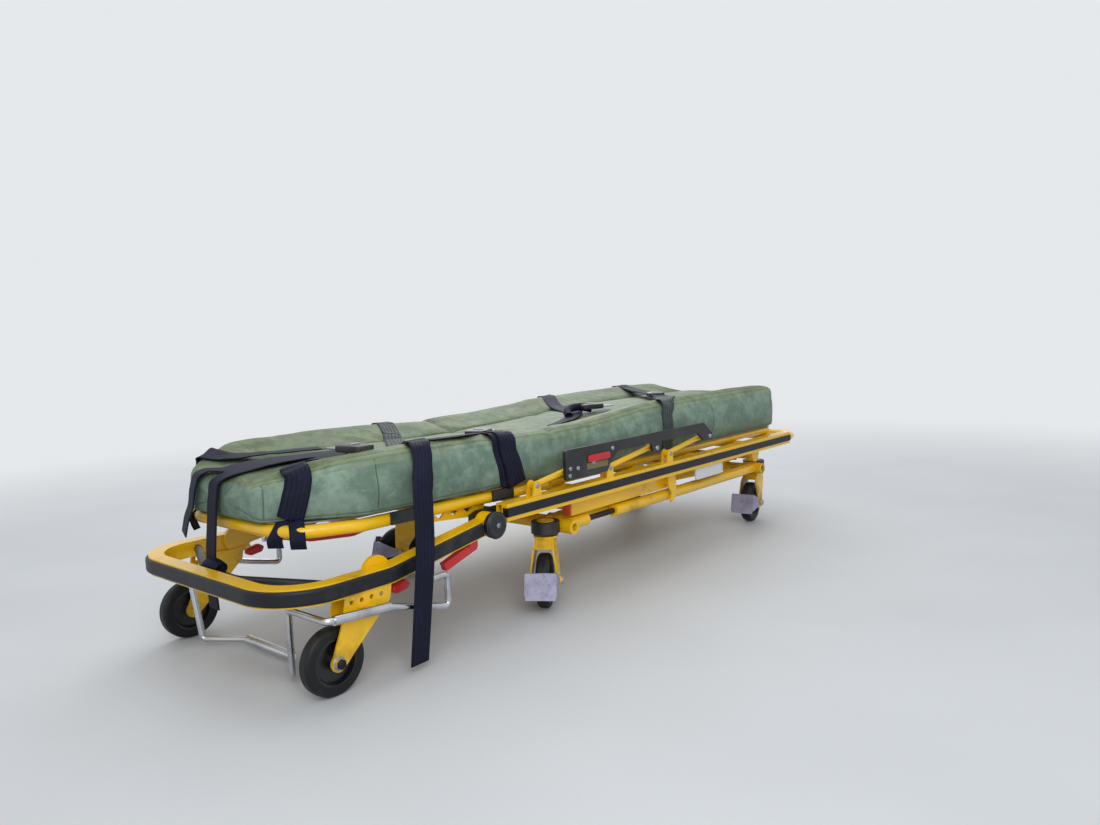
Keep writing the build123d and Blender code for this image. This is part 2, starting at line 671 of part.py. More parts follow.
def leg(name, y, foot_z, head_z, bore_r, track_y):
    """Pair of side bars with eyes at the foot end and a roller shaft at the head end."""
    foot = (SCISSOR_X, foot_z)
    head = (SLIDE_X, head_z)
    run = hypot(foot[0] - head[0], foot[1] - head[1])
    dx, dz = (foot[0] - head[0]) / run, (foot[1] - head[1]) / run
    half = LEG_H / 2
    outline = [(px - dz * h, pz + dx * h) for px, pz, h in
               ((*head, -half), (*foot, -half), (*foot, half), (*head, half))]
    y0, y1 = y - LEG_W / 2, y + LEG_W / 2
    pieces = [slab(outline, y0, y1)]
    pieces.append(disc(*foot, max(LEG_EYE_R, bore_r + 6), y0, y1))
    pieces.append(disc(*head, LEG_EYE_R, y0, y1))
    pieces.append(disc(LEG_MID_X, LEG_MID_Z, LEG_EYE_R + 2, y0, y1))
    bar = (Part() + pieces) - disc(*foot, bore_r, y0 - 1, y1 + 1)
    if name == "outer_legs":
        pin_end = INNER_LEG_Y - LEG_W / 2 - 2
        bar = Part() + [bar, disc(LEG_MID_X, LEG_MID_Z, LEG_PIN_R, pin_end, y0 + 1)]
    else:
        bar -= disc(LEG_MID_X, LEG_MID_Z, LEG_PIN_R + PIN_GAP, y0 - 1, y1 + 1)
    shaft_end = track_y + ROLLER_W / 2
    shaft = disc(*head, SHAFT_R, -shaft_end, shaft_end)
    roller = both_sides(disc(*head, ROLLER_R, track_y - ROLLER_W / 2, shaft_end))
    tie_x = SCISSOR_X - 60 * dx
    tie = disc(tie_x, foot_z - 60 * dz, SHAFT_R, -y0 - 1, y0 + 1)
    keep(name, Part() + [*both_sides(bar), shaft, *roller, tie])


def legs():
    """The two crossed pairs of legs."""
    leg("outer_legs", OUTER_LEG_Y, TRACK_Z, BASE_Z, SHAFT_R + PIN_GAP, BASE_TRACK_Y)
    leg("inner_legs", INNER_LEG_Y, BASE_Z, TRACK_Z, BASE_TUBE_R + PIN_GAP, LITTER_TRACK_Y)


def base_tees():
    """Castings at the corners of the base: barrel, stem and housing of a caster."""
    tees = []
    low = CROWN_Z + RING_GAP / 2
    for _, caster_x, side, _ in CASTERS:
        x, way = (BASE_HEAD_X, 1) if caster_x < BASE_HEAD_X else (SCISSOR_X, -1)
        y0, y1 = sorted((side * TEE_START_Y, side * TEE_END_Y))
        y = side * SIDE_TUBE_Y
        web_y = side * CASTER_Y
        web_x = sorted((caster_x, x))
        web_y0, web_y1 = max(web_y - WEB_HALF, y0), min(web_y + WEB_HALF, y1)
        tee = Part() + [
            disc(x, BASE_Z, TEE_R, y0, y1),
            rod((x, y, BASE_Z), (x + way * TEE_STEM, y, BASE_Z), SIDE_TUBE_R),
            Pos(caster_x, web_y, (low + RING_TOP_Z) / 2) * Cylinder(CORE_R, RING_TOP_Z - low),
            block(*web_x, web_y0, web_y1, BASE_Z - WEB_HALF / 2, BASE_Z + WEB_HALF),
        ]
        y0, y1 = sorted((side * (TEE_END_Y - TEE_BORE_LENGTH), side * (TEE_END_Y + 1)))
        tee -= disc(x, BASE_Z, TEE_BORE_R, y0, y1)
        tee -= Pos(caster_x, web_y, BASE_Z) * Cylinder(KINGPIN_R + PIN_GAP, 100)
        tees.append(tee)
    return tees


def base_frame():
    """Cross tubes, side tubes, rods and roller tracks between the castings."""
    pieces = []
    rods = []
    for x in (BASE_HEAD_X, SCISSOR_X):
        pieces.append(disc(x, BASE_Z, BASE_TUBE_R, -TEE_START_Y, TEE_START_Y))
    stem_foot_x = SCISSOR_X - TEE_STEM
    rod_x0 = BASE_HEAD_X + TEE_STEM - ROD_LAP_HEAD
    rod_x1 = SIDE_TUBE_HEAD_X + ROD_LAP_FOOT
    for y in (-SIDE_TUBE_Y, SIDE_TUBE_Y):
        pieces.append(rod((SIDE_TUBE_HEAD_X, y, BASE_Z), (stem_foot_x, y, BASE_Z), SIDE_TUBE_R))
        rods.append(rod((rod_x0, y, BASE_Z), (rod_x1, y, BASE_Z), ROD_R))
    channel = track(BASE_TRACK_Y, BASE_Z, BASE_HEAD_X, BASE_TRACK_FOOT_X)
    outer_y = BASE_TRACK_Y + TRACK_W / 2
    tie_x = BASE_TRACK_FOOT_X - HANGER_L - TRACK_WALL
    tie = block(tie_x, tie_x + HANGER_L, outer_y - 1, SIDE_TUBE_Y, BASE_Z - 8, BASE_Z + 8)
    frame = Part() + [*pieces, *both_sides(Part() + [channel, tie])]
    start_x = BASE_HEAD_X + BASE_TUBE_R + 2
    frame -= both_sides(track_hollow(BASE_TRACK_Y, BASE_Z, start_x, BASE_TRACK_FOOT_X))
    tees = Part() + base_tees()
    keep("base_tees", tees - rods)
    keep("base_frame", frame - rods)
    keep("base_rods", *rods)


def caster_rings():
    """Black rings round the swivel housings."""
    rings = []
    low = CROWN_Z + RING_GAP
    height = RING_TOP_Z - 2 - low
    for _, x, side, _ in CASTERS:
        place = Pos(x, side * CASTER_Y, low + height / 2)
        ring = place * (Cylinder(RING_R, height) - Cylinder(CORE_R, height + 1))
        tube_x = BASE_HEAD_X if x < 0 else SCISSOR_X
        x0, x1 = sorted((x, tube_x))
        y = side * CASTER_Y
        ring -= block(x0, x1, y - WEB_HALF, y + WEB_HALF, 0, BASE_Z + WEB_HALF)
        ring -= disc(tube_x, BASE_Z, TEE_R, -TEE_END_Y, TEE_END_Y)
        rings.append(ring)
    keep("caster_rings", *rings)


def caster(name, x, y, direction):
    """Swivel fork, wheel and foot pedal of one caster."""
    inner = CASTER_W / 2 + FORK_GAP
    wide = inner + FORK_FLARE
    place = Pos(x, y, 0) * Rot(0, 0, direction)
    under = CROWN_Z - CROWN_T
    trail = CASTER_TRAIL
    flare_z = CASTER_R + 18
    low_z = CASTER_R - 16
    shell = []
    for wall, top in ((FORK_T, CROWN_Z), (0.0, under)):
        shell.append(make_face(Polyline(
            (-inner - wall, top), (inner + wall, top), (wide + wall, flare_z), (wide + wall, low_z),
            (-wide - wall, low_z), (-wide - wall, flare_z), close=True,
        )))
    outer_y = wide + FORK_T
    side_view = (
        (-22, CROWN_Z),
        (22, CROWN_Z),
        (trail + 14, under - 26),
        (trail + 15, low_z),
        (trail - 15, low_z),
        (trail - 22, flare_z),
        (-22, under - 20),
    )
    hood = along_x(shell[0] - shell[1], -22, trail + 15) & slab(side_view, -outer_y, outer_y)
    # sloped ends that close the top of the hood before and behind the wheel
    ends = []
    for x, reach in ((22, APRON_REACH), (-22 + APRON_T, 0.0)):
        end = ((x - APRON_T, CROWN_Z), (x, CROWN_Z), (x + reach, APRON_Z), (x + reach - APRON_T, APRON_Z))
        ends.append(along_x(shell[0], -22, trail + 15) & slab(end, -outer_y, outer_y))
    pieces = [hood, *ends, Pos(0, 0, CROWN_Z - CROWN_T / 2) * Cylinder(CROWN_R, CROWN_T)]
    for side in (-1, 1):
        y0, y1 = sorted((side * inner, side * (wide + 0.5)))
        pieces.append(disc(trail, CASTER_R, NUT_R, y0, y1))
        y0, y1 = sorted((side * outer_y, side * (outer_y + NUT_T)))
        pieces.append(disc(trail, CASTER_R, NUT_R, y0, y1))
    pieces.append(disc(trail, CASTER_R, AXLE_R, -inner, inner))
    kingpin_l = RING_TOP_Z - CROWN_Z
    pieces.append(Pos(0, 0, CROWN_Z - 2 + kingpin_l / 2) * Cylinder(KINGPIN_R, kingpin_l))
    keep("caster_fork_" + name, place * (Part() + pieces))
    wheel = wheel_tyre(CASTER_R, CASTER_R - 18, CASTER_W, trail, 0, CASTER_R)
    hub = wheel_hub(CASTER_R - 18, AXLE_R + PIN_GAP, CASTER_W + 2 * FORK_GAP - 1, trail, 0, CASTER_R)
    keep("caster_wheel_" + name, place * (Part() + [wheel, hub]))
    reach = CASTER_R + PEDAL_GAP
    top_x = trail + reach
    low_x = top_x + PEDAL_LEAN
    face = ((top_x, PEDAL_TOP_Z), (top_x + PEDAL_T, PEDAL_TOP_Z), (low_x + PEDAL_T, PEDAL_LOW_Z),
            (low_x, PEDAL_LOW_Z))
    pedal = slab(face, -PEDAL_HALF, PEDAL_HALF)
    arms = []
    for side in (-1, 1):
        y0, y1 = sorted((side * outer_y, side * (outer_y + PEDAL_T)))
        arm = ((trail + 4, CASTER_R - 6), (low_x - 12, PEDAL_LOW_Z + 8), (low_x + 1, PEDAL_LOW_Z + 8),
               (top_x + 1, PEDAL_TOP_Z - 2), (top_x - 10, PEDAL_TOP_Z - 2), (trail + 4, CASTER_R + 6))
        arms.append(slab(arm, y0, y1) - disc(trail, CASTER_R, NUT_R, y0 - 1, y1 + 1))
    keep("caster_pedal_" + name, place * (Part() + [pedal, *arms]))


def side_bar(name, side):
    """Folding side rail: three posts on the rail lugs and one grab bar."""
    turn = radians(POST_ANGLE)
    rise_x, rise_z = POST_LENGTH * cos(turn), POST_LENGTH * sin(turn)
    half = POST_EYE_W / 2
    inner = POST_Y + half + POST_GAP + EAR_T + BAR_GAP
    y = side * POST_Y
    pins = []
    for number, x in enumerate(LUG_STATIONS, 1):
        low = (x, POST_PIVOT_Z)
        high = (x + rise_x, POST_PIVOT_Z + rise_z)
        tube = rod((low[0], y, low[1]), (high[0], y, high[1]), POST_R)
        low_eye = disc(*low, POST_EYE_R, y - half, y + half)
        high_eye = disc(*high, POST_EYE_R, y - half, y + half)
        post = Part() + [tube, low_eye, high_eye]
        post -= disc(*low, EAR_PIN_R + PIN_GAP, y - 20, y + 20)
        post -= disc(*high, TOP_PIN_R + PIN_GAP, y - 20, y + 20)
        keep(f"side_post_{name}_{number}", post)
        y0, y1 = sorted((side * (POST_Y - half - 1), side * (inner + 1)))
        pins.append(disc(*high, TOP_PIN_R, y0, y1))
        y0, y1 = sorted((side * (POST_Y + half + POST_GAP), side * (inner + 1)))
        pins.append(disc(*high, POST_EYE_R - 1, y0, y1))
    low_z = POST_PIVOT_Z + rise_z - POST_EYE_R
    high_z = low_z + BAR_PANEL_H
    drop_z = low_z - BAR_PANEL_DROP
    run_z = high_z - BAR_RUN_H
    tab_x = LUG_STATIONS[1] + rise_x
    panel_x = BAR_HEAD_X + BAR_PANEL_L
    y0, y1 = sorted((side * inner, side * (inner + BAR_PANEL_T)))
    outline = (
        (BAR_HEAD_X, drop_z),
        (panel_x, drop_z),
        (panel_x + 14, low_z),
        (panel_x + 46, run_z),
        (tab_x - BAR_TAB_HALF - 6, run_z),
        (tab_x - BAR_TAB_HALF, low_z),
        (tab_x + BAR_TAB_HALF, low_z),
        (tab_x + BAR_TAB_HALF + 6, run_z),
        (BAR_FOOT_X - 78, run_z),
        (BAR_FOOT_X - 46, low_z),
        (BAR_FOOT_X, low_z),
        (BAR_FOOT_X, low_z + 16),
        (BAR_FOOT_X - 44, high_z),
        (BAR_HEAD_X, high_z),
    )
    panel = rounded_slab(outline, y0, y1, 6)
    keep("side_bar_" + name, Part() + [panel, *pins])


def mattress_section():
    """Cross-section of the mattress: flat base, raised sides and a trough."""
    low, high = MATTRESS_BOTTOM, MATTRESS_TOP
    half = MATTRESS_HALF
    points = (
        (half, low), (half, high), (BOLSTER_HALF, high), (TROUGH_HALF, TROUGH_Z),
        (-TROUGH_HALF, TROUGH_Z), (-BOLSTER_HALF, high), (-half, high), (-half, low),
    )
    radii = (12, 26, 40, 40, 40, 40, 26, 12)
    return make_face(FilletPolyline(*points, radius=radii, close=True))


def mattress():
    """Back and seat cushions with the wedge of foam that folds between them."""
    section = mattress_section()
    top = MATTRESS_TOP + 40
    spread = tan(radians(FOLD_HALF_ANGLE)) * (top - DECK_Z)
    head_spread = tan(radians(FOLD_HALF_ANGLE - BACK_TILT)) * (top - DECK_Z)
    half = MATTRESS_HALF + 10
    whole = along_x(section, MATTRESS_HEAD_X, MATTRESS_FOOT_X)
    x = BACK_HINGE_X
    wedge = slab(((x, DECK_Z), (x + spread, top), (x - head_spread, top)), -half, half)
    gap = FOLD_GAP / cos(radians(FOLD_HALF_ANGLE))
    cut = ((x - gap, DECK_Z), (x + gap, DECK_Z), (x + gap + spread, top), (x - gap - spread, top))
    cutter = slab(cut, -half, half)
    edge = ((x, -MATTRESS_HALF), (TAPER_X, -MATTRESS_HALF), (MATTRESS_HEAD_X, -HEAD_HALF))
    rim = FilletPolyline(*edge, *[(px, -py) for px, py in reversed(edge)], radius=PLAN_R)
    plan = make_face([rim, Line((x, MATTRESS_HALF), (x, -MATTRESS_HALF))])
    back = (whole & extrude(plan, amount=2 * top)) - cutter - head_slope(top)
    seat = (whole & block(x, MATTRESS_FOOT_X, -half, half, 0, top)) - cutter
    keep("mattress_seat", seat)
    keep("mattress_fold", whole & wedge)
    return back


def head_slope(top):
    """Foam cut away where the top falls towards the head end."""
    x, z = MATTRESS_HEAD_X, MATTRESS_TOP - HEAD_DROP
    rise = HEAD_DROP / HEAD_SLOPE_L
    lift = rise * (HEAD_SLOPE_L + 20)
    outline = ((x - 20, z - 20 * rise), (x + HEAD_SLOPE_L + 20, z + lift), (x - 20, z + lift))
    half = MATTRESS_HALF + 10
    return slab(outline, -half, half) & block(x - 20, BACK_HINGE_X, -half, half, 0, top)


def band(x, low_z):
    """Webbing over the mattress at one station, down to a height on each side."""
    section = mattress_section()
    skin = offset(section, WEB_GAP + WEB_T) - offset(section, WEB_GAP)
    keep_above = Pos(0, low_z + MATTRESS_T) * Rectangle(4 * MATTRESS_HALF, 2 * MATTRESS_T)
    return along_x(skin & keep_above, x - WEB_W / 2, x + WEB_W / 2)


def shoulder_strap(y, low_z):
    """Webbing that runs in the trough and falls over the head end."""
    x, z = MATTRESS_HEAD_X, MATTRESS_TOP - HEAD_DROP
    start_x = CHEST_STRAP_X - 40
    slope_x = x + (TROUGH_Z - z) * HEAD_SLOPE_L / HEAD_DROP
    points = ((start_x, low_z), (start_x, TROUGH_Z), (slope_x, TROUGH_Z), (x, z), (x, low_z))
    section = make_face(Polyline(*points, close=True))
    skin = offset(section, WEB_GAP + WEB_T) - offset(section, WEB_GAP)
    length = start_x - x + 2 * WEB_W
    keep_head = Pos(start_x - length / 2, low_z + MATTRESS_T) * Rectangle(length, 2 * MATTRESS_T)
    plane = Plane(origin=(0, y, 0), x_dir=(1, 0, 0), z_dir=(0, -1, 0))
    return extrude(plane * (skin & keep_head), amount=WEB_W / 2, both=True)


def straps():
    """Belts over the back cushion and over the legs, with their buckles."""
    low_z = MATTRESS_BOTTOM + 4
    chest = band(CHEST_STRAP_X, low_z)
    waist = band(WAIST_STRAP_X, low_z)
    shoulders = [shoulder_strap(y, low_z) for y in (-SHOULDER_STRAP_Y, SHOULDER_STRAP_Y)]
    tail_top = MATTRESS_TOP - 60
    x0, x1 = CHEST_STRAP_X - WEB_W / 2, CHEST_STRAP_X + WEB_W / 2
    tail = block(x0, x1, -TAIL_Y - WEB_T, -TAIL_Y, TAIL_BOTTOM_Z, tail_top)
    bridge = block(x0, x1, -TAIL_Y, -MATTRESS_HALF - 1, tail_top - WEB_T, tail_top)
    keep("leg_straps", band(THIGH_STRAP_X, low_z), band(SHIN_STRAP_X, low_z))
    keep("leg_buckles", buckle(THIGH_STRAP_X), buckle(SHIN_STRAP_X))
    return [Part() + [chest, tail, bridge], waist, *shoulders]


def buckle(x):
    """Belt buckle in the trough: a frame with a slot and a raised tongue."""
    low = TROUGH_Z + WEB_GAP + WEB_T + PIN_GAP
    frame = block(x - 30, x + 30, -22, 38, low, low + 7)
    frame -= block(x - 24, x + 24, -16, -10, low - 1, low + 8)
    tongue = block(x - 24, x + 24, 0, 32, low + 6, low + 12)
    return Part() + [frame, tongue]


def backrest_tube():
    """Bent tube round three sides of the backrest."""
    near = [(x, -y, BACK_Z) for x, y in BACK_OUTLINE]
    far = [(x, -y, z) for x, y, z in reversed(near)]
    return bent_tube(near + far, BACK_R, BACK_BEND)


def backrest_frame(tube):
    """The tube with its hinge eyes, rungs and side trusses."""
    pieces = [tube]
    x = BACK_HINGE_X
    for side in (-1, 1):
        y0, y1 = sorted((side * (EYE_Y - EYE_W / 2), side * (EYE_Y + EYE_W / 2)))
        pieces.append(disc(x, DECK_Z, HINGE_R + 4.5, y0, y1))
        pieces.append(block(x - 40, x, y0, y1, DECK_Z - HINGE_R, DECK_Z + HINGE_R))
        y0, y1 = sorted((side * (EYE_Y - 5), side * (BACK_Y + 4)))
        pieces.append(block(x - 44, x - 26, y0, y1, DECK_Z - HINGE_R, DECK_Z + HINGE_R))
    for x in RUNG_STATIONS:
        pieces.append(disc(x, BACK_Z, RUNG_R, -BACK_Y, BACK_Y))
    top = BACK_Z - 9
    truss = slab(((-640, top), (-470, top), (-476, top - 28), (-618, top - 18)),
                 BACK_Y - 8, BACK_Y - 8 + TRUSS_T)
    for x in TRUSS_HOLES:
        hole = ((x - 14, top - 4), (x + 14, top - 4), (x, top - 16))
        truss -= slab(hole, BACK_Y - 12, BACK_Y)
    frame = Part() + [*pieces, *both_sides(truss)]
    bore = disc(BACK_HINGE_X, DECK_Z, HINGE_R + PIN_GAP, -BACK_Y, BACK_Y)
    return frame - bore


def backrest(cushion, webbing):
    """Everything that turns on the backrest hinge, laid flat and then tipped up a little."""
    edge = [(x, y - PANEL_EDGE) for x, y in BACK_OUTLINE[:2]]
    edge += [(x + PANEL_EDGE, y - PANEL_EDGE) for x, y in BACK_OUTLINE[2:]]
    plan = [(x, -y) for x, y in edge] + list(reversed(edge))
    panel = Pos(0, 0, DECK_TOP) * extrude(make_face(Polyline(*plan, close=True)), amount=PANEL_T)
    panel -= slots(BACK_SLOTS)
    grip = [(x, inset - BACK_Y, BACK_Z - drop) for x, inset, drop in RELEASE_OUTLINE]
    grip += [(x, -y, z) for x, y, z in reversed(grip)]
    frame = backrest_frame(backrest_tube())
    release = bent_tube(grip, RELEASE_R, 30) - frame
    anchors = []
    for side in (-1, 1):
        y0, y1 = sorted((side * (MATTRESS_HALF - ANCHOR_T), side * MATTRESS_HALF))
        for x in (CHEST_STRAP_X, WAIST_STRAP_X):
            x0, x1 = x - ANCHOR_W / 2, x + ANCHOR_W / 2
            anchors.append(block(x0, x1, y0, y1, ANCHOR_LOW, MATTRESS_BOTTOM - SEAT_GAP))
    nodes = (
        ("backrest_frame", [frame]),
        ("backrest_panel", [panel]),
        ("backrest_release", [release]),
        ("mattress_back", [cushion]),
        ("back_straps", webbing),
        ("back_buckles", [buckle(CHEST_STRAP_X), buckle(WAIST_STRAP_X)]),
        ("strap_anchors", anchors),
    )
    hinge = Axis((BACK_HINGE_X, 0, DECK_Z), (0, 1, 0))
    for name, shapes in nodes:
        keep(name, *[shape.rotate(hinge, BACK_TILT) for shape in shapes])


def build():
    """Model every node of the stretcher."""
    side_rails()
    hoop()
    hoop_strut()
    wheel_brackets()
    load_wheels()
    safety_bar()
    release_levers()
    pivot_castings()
    post_lugs()
    deck_frame()
    litter_tracks()
    scissor_mount()
    foot_handle()
    cover_plates()
    legs()
    base_frame()
    caster_rings()
    for name, x, side, direction in CASTERS:
        caster(name, x, side * CASTER_Y, direction)
    side_bar("near", -1)
    side_bar("far", 1)
    cushion = mattress()
    backrest(cushion, straps())


build()
os.makedirs("parts", exist_ok=True)
for node, solids in NODES.items():
    shape = solids[0] if len(solids) == 1 else Compound(children=solids)
    export_step(shape, f"parts/{node}.step")
    print(node, len(solids))
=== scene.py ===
import json
from math import cos, pi, radians, sin

import bmesh
import bpy
import numpy as np
from mathutils import Matrix, Vector


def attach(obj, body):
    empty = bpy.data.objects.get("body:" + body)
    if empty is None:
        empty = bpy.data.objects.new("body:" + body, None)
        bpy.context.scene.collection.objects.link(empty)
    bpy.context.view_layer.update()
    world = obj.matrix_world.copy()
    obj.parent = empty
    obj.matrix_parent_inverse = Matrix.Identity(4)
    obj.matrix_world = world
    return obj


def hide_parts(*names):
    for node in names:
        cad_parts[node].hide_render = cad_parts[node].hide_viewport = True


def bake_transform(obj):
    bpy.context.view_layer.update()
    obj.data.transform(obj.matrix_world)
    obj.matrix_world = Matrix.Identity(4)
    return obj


# Looks of a lowered wheeled ambulance stretcher. Metres, +Z up, head end towards -X, camera side -Y.
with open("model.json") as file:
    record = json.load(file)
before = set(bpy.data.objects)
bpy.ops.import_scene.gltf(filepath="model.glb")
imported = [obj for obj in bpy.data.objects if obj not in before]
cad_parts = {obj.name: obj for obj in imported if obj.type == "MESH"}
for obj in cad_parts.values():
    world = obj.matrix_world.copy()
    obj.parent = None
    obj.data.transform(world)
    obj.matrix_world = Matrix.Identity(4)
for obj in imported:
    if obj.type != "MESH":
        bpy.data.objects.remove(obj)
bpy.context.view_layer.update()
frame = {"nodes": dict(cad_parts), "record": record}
scene = bpy.context.scene

# Places taken over from the CAD model
BACK_HINGE = (-0.250, 0.279)
BACK_TILT = radians(0.8)
MATTRESS_HALF = 0.250
MATTRESS_LOW = 0.2932
DROP_PIVOT = (-0.505, 0.234)
BOSS_FACE_Y = 0.299
LOAD_AXLE = (-0.900, 0.262, 0.0625)
LOAD_NUT_Y = 0.289
LOAD_WASHER_Y = 0.2832
BAR_FACE_Y = 0.304
LUG_STATIONS = (-0.365, -0.093, 0.179)
LUG_Z = 0.295
LUG_FACE_Y = 0.291
POST_REACH = (0.18815, 0.02644)
TRACK_END = (-0.214, 0.249, 0.212)
SIDES = (("near", -1), ("far", 1))
# name, kingpin, direction in degrees in which the wheel trails
CASTERS = (
    ("head_near", (-0.280, -0.235), 213.0),
    ("head_far", (-0.280, 0.235), 139.0),
    ("foot_near", (0.764, -0.235), 188.0),
    ("foot_far", (0.764, 0.235), 171.0),
)
CASTER_TRAIL = 0.038
CASTER_AXLE_Z = 0.0625
CASTER_NUT_Y = 0.039
# bores in the base's corner castings
BORE_X = {"head": -0.236, "foot": 0.720}
BORE_Y = 0.2585
BORE_R = 0.0088
BASE_Z = 0.175


# Camera, light and room

def add_camera():
    """Pinhole camera at the viewpoint solved from the photograph."""
    data = bpy.data.cameras.new("camera")
    data.lens = 27.75
    data.sensor_width = 36.0
    camera = bpy.data.objects.new("camera", data)
    right = Vector((0.648152, -0.760541, -0.038424))
    down = Vector((-0.094463, -0.03023, -0.995069))
    ahead = Vector((0.75563, 0.648586, -0.091436))
    turn = Matrix((right, -down, -ahead)).transposed()
    camera.matrix_world = Matrix.Translation((-1.748, -1.523, 0.626)) @ turn.to_4x4()
    scene.collection.objects.link(camera)
    scene.camera = camera


def add_lamp(name, place, aim, size, power, colour):
    """Soft square lamp that points at a place."""
    data = bpy.data.lights.new(name, "AREA")
    data.size = size
    data.energy = power
    data.color = colour
    lamp = bpy.data.objects.new(name, data)
    lamp.location = place
    lamp.rotation_euler = (Vector(aim) - Vector(place)).to_track_quat("-Z", "Y").to_euler()
    scene.collection.objects.link(lamp)


# Materials

class Number:
    """A shader value that can stand in Python sums; each sum adds a Math node."""

    def __init__(self, finish, socket):
        self.finish = finish
        self.socket = socket

    def join(self, operation, *others):
        return Number(self.finish, self.finish.node("Math", {"operation": operation}, others))

    def __add__(self, other):
        return self.join("ADD", self, other)

    __radd__ = __add__

    def __sub__(self, other):
        return self.join("SUBTRACT", self, other)

    def __rsub__(self, other):
        return self.join("SUBTRACT", other, self)

    def __mul__(self, other):
        return self.join("MULTIPLY", self, other)

    def wave(self):
        """Sine of the value."""
        return self.join("SINE", self)

    def size(self):
        """Value without its sign."""
        return self.join("ABSOLUTE", self)

    def root(self):
        """Square root of the value."""
        return self.join("SQRT", self)

    def step(self, low, high):
        """0 below low, 1 above high and smooth between; low may lie above high."""
        settings = {"interpolation_type": "SMOOTHSTEP"}
        socket = self.finish.node("MapRange", settings, (self, low, high, 0.0, 1.0))
        return Number(self.finish, socket)


class Tree:
    """A node tree in the making."""

    def __init__(self, owner):
        owner.use_nodes = True
        self.tree = owner.node_tree

    def node(self, kind, settings=None, values=(), output=0):
        """Add a node of a kind, give it its settings and then its sockets' values or links."""
        added = self.tree.nodes.new("ShaderNode" + kind)
        for key, value in (settings or {}).items():
            setattr(added, key, value)
        pairs = values.items() if isinstance(values, dict) else enumerate(values)
        for key, value in pairs:
            self.plug(value, added.inputs[key])
        return added.outputs[output]

    def plug(self, value, socket):
        """Give a socket a value or a link."""
        value = value.socket if isinstance(value, Number) else value
        if isinstance(value, bpy.types.NodeSocket):
            self.tree.links.new(value, socket)
        else:
            socket.default_value = value


class Finish(Tree):
    """A material in the making: one Principled shader and the nodes that feed it."""

    def __init__(self, name, metallic=0.0, coat=0.0, coat_roughness=0.2, specular=0.5):
        self.material = bpy.data.materials.new(name)
        super().__init__(self.material)
        self.shader = self.tree.nodes["Principled BSDF"]
        self.shader.inputs["Metallic"].default_value = metallic
        self.shader.inputs["Coat Weight"].default_value = coat
        self.shader.inputs["Coat Roughness"].default_value = coat_roughness
        self.shader.inputs["Specular IOR Level"].default_value = specular

    def place(self, centre=(0.0, 0.0, 0.0)):
        """Object coordinates counted from a centre."""
        coordinates = self.node("TexCoord", output=3)
        if centre == (0.0, 0.0, 0.0):
            return coordinates
        return self.node("VectorMath", {"operation": "SUBTRACT"}, (coordinates, centre))

    def stretched(self, scale):
        """Object coordinates multiplied by a scale for each axis."""
        return self.node("Mapping", None, {"Vector": self.place(), "Scale": scale})

    def axes(self, vector):
        """The three parts of a vector as numbers."""
        return [Number(self, self.node("SeparateXYZ", None, (vector,), output=k)) for k in range(3)]

    def cloth_map(self):
        """Metres along and across a strip or seam, from the piece's own map."""
        return self.axes(self.node("UVMap", {"uv_map": "UVMap"}))[:2]

    def noise(self, scale, detail=2.0, rough=0.5, vector=None):
        """Soft cloudy pattern from about 0.3 to 0.7; scale is in patches per metre."""
        values = {"Scale": scale, "Detail": detail, "Roughness": rough}
        values["Vector"] = vector if vector is not None else self.place()
        return Number(self, self.node("TexNoise", None, values))

    def grain(self, scale):
        """Small cells, 0 in their middles, as in pebbled vinyl."""
        values = {"Vector": self.place(), "Scale": scale}
        return Number(self, self.node("TexVoronoi", {"feature": "F1"}, values))

    def mix(self, factor, low, high):
        """Blend of two colours by a number."""
        low, high = (c if isinstance(c, bpy.types.NodeSocket) else (*c, 1.0) for c in (low, high))
        return self.node("Mix", {"data_type": "RGBA"}, {0: factor, 6: low, 7: high}, 2)

    def feed(self, name, value):
        """Give one of the shader's sockets a value or a link."""
        self.plug(value, self.shader.inputs[name])

    def bump(self, height, distance, strength=1.0):
        """Raise the surface by a height of 0 to 1 times a distance in metres."""
        values = {"Height": height, "Distance": distance, "Strength": strength}
        self.feed("Normal", self.node("Bump", None, values))


def srgb(red, green, blue):
    """Linear colour of an 8-bit screen colour."""
    share = np.array((red, green, blue)) / 255.0
    return tuple(np.where(share <= 0.04045, share / 12.92, ((share + 0.055) / 1.055) ** 2.4))


def paint(name, colour, dark, worn):
    """Glossy powder coat, darker in cloudy brown patches towards the bottom, with rubbed spots and fine
    scratches.
    """
    f = Finish(name, coat=0.25, coat_roughness=0.18)
    height = f.axes(f.place())[2]
    cloud = f.noise(9.0, 4.0, 0.6)
    # darker in cloudy patches towards the bottom
    low_darkening = (cloud + (0.20 - height) * 0.9).step(0.56, 0.78)
    body = f.mix(f.noise(3.0, 2.0).step(0.35, 0.65), colour, [c * 0.86 for c in colour])
    body = f.mix(low_darkening * 0.75, body, dark)
    chips = f.noise(75.0, 5.0, 0.65)
    chip = chips.step(0.685, 0.705) * f.noise(14.0, 2.0).step(0.48, 0.60)
    scratch = f.noise(40.0, 2.0, 0.5, f.stretched((0.25, 9.0, 6.0)))
    scratch = scratch.step(0.665, 0.69) * f.noise(7.0, 2.0).step(0.50, 0.60) * 0.6
    f.feed("Base Color", f.mix(chip, f.mix(scratch, body, worn), srgb(96, 92, 86)))
    f.feed("Roughness", 0.26 + low_darkening * 0.34 + chip * 0.25 + scratch * 0.15)
    f.bump(f.noise(650.0, 2.0) * 0.35 - chip * 0.9, 0.0004)
    return f.material


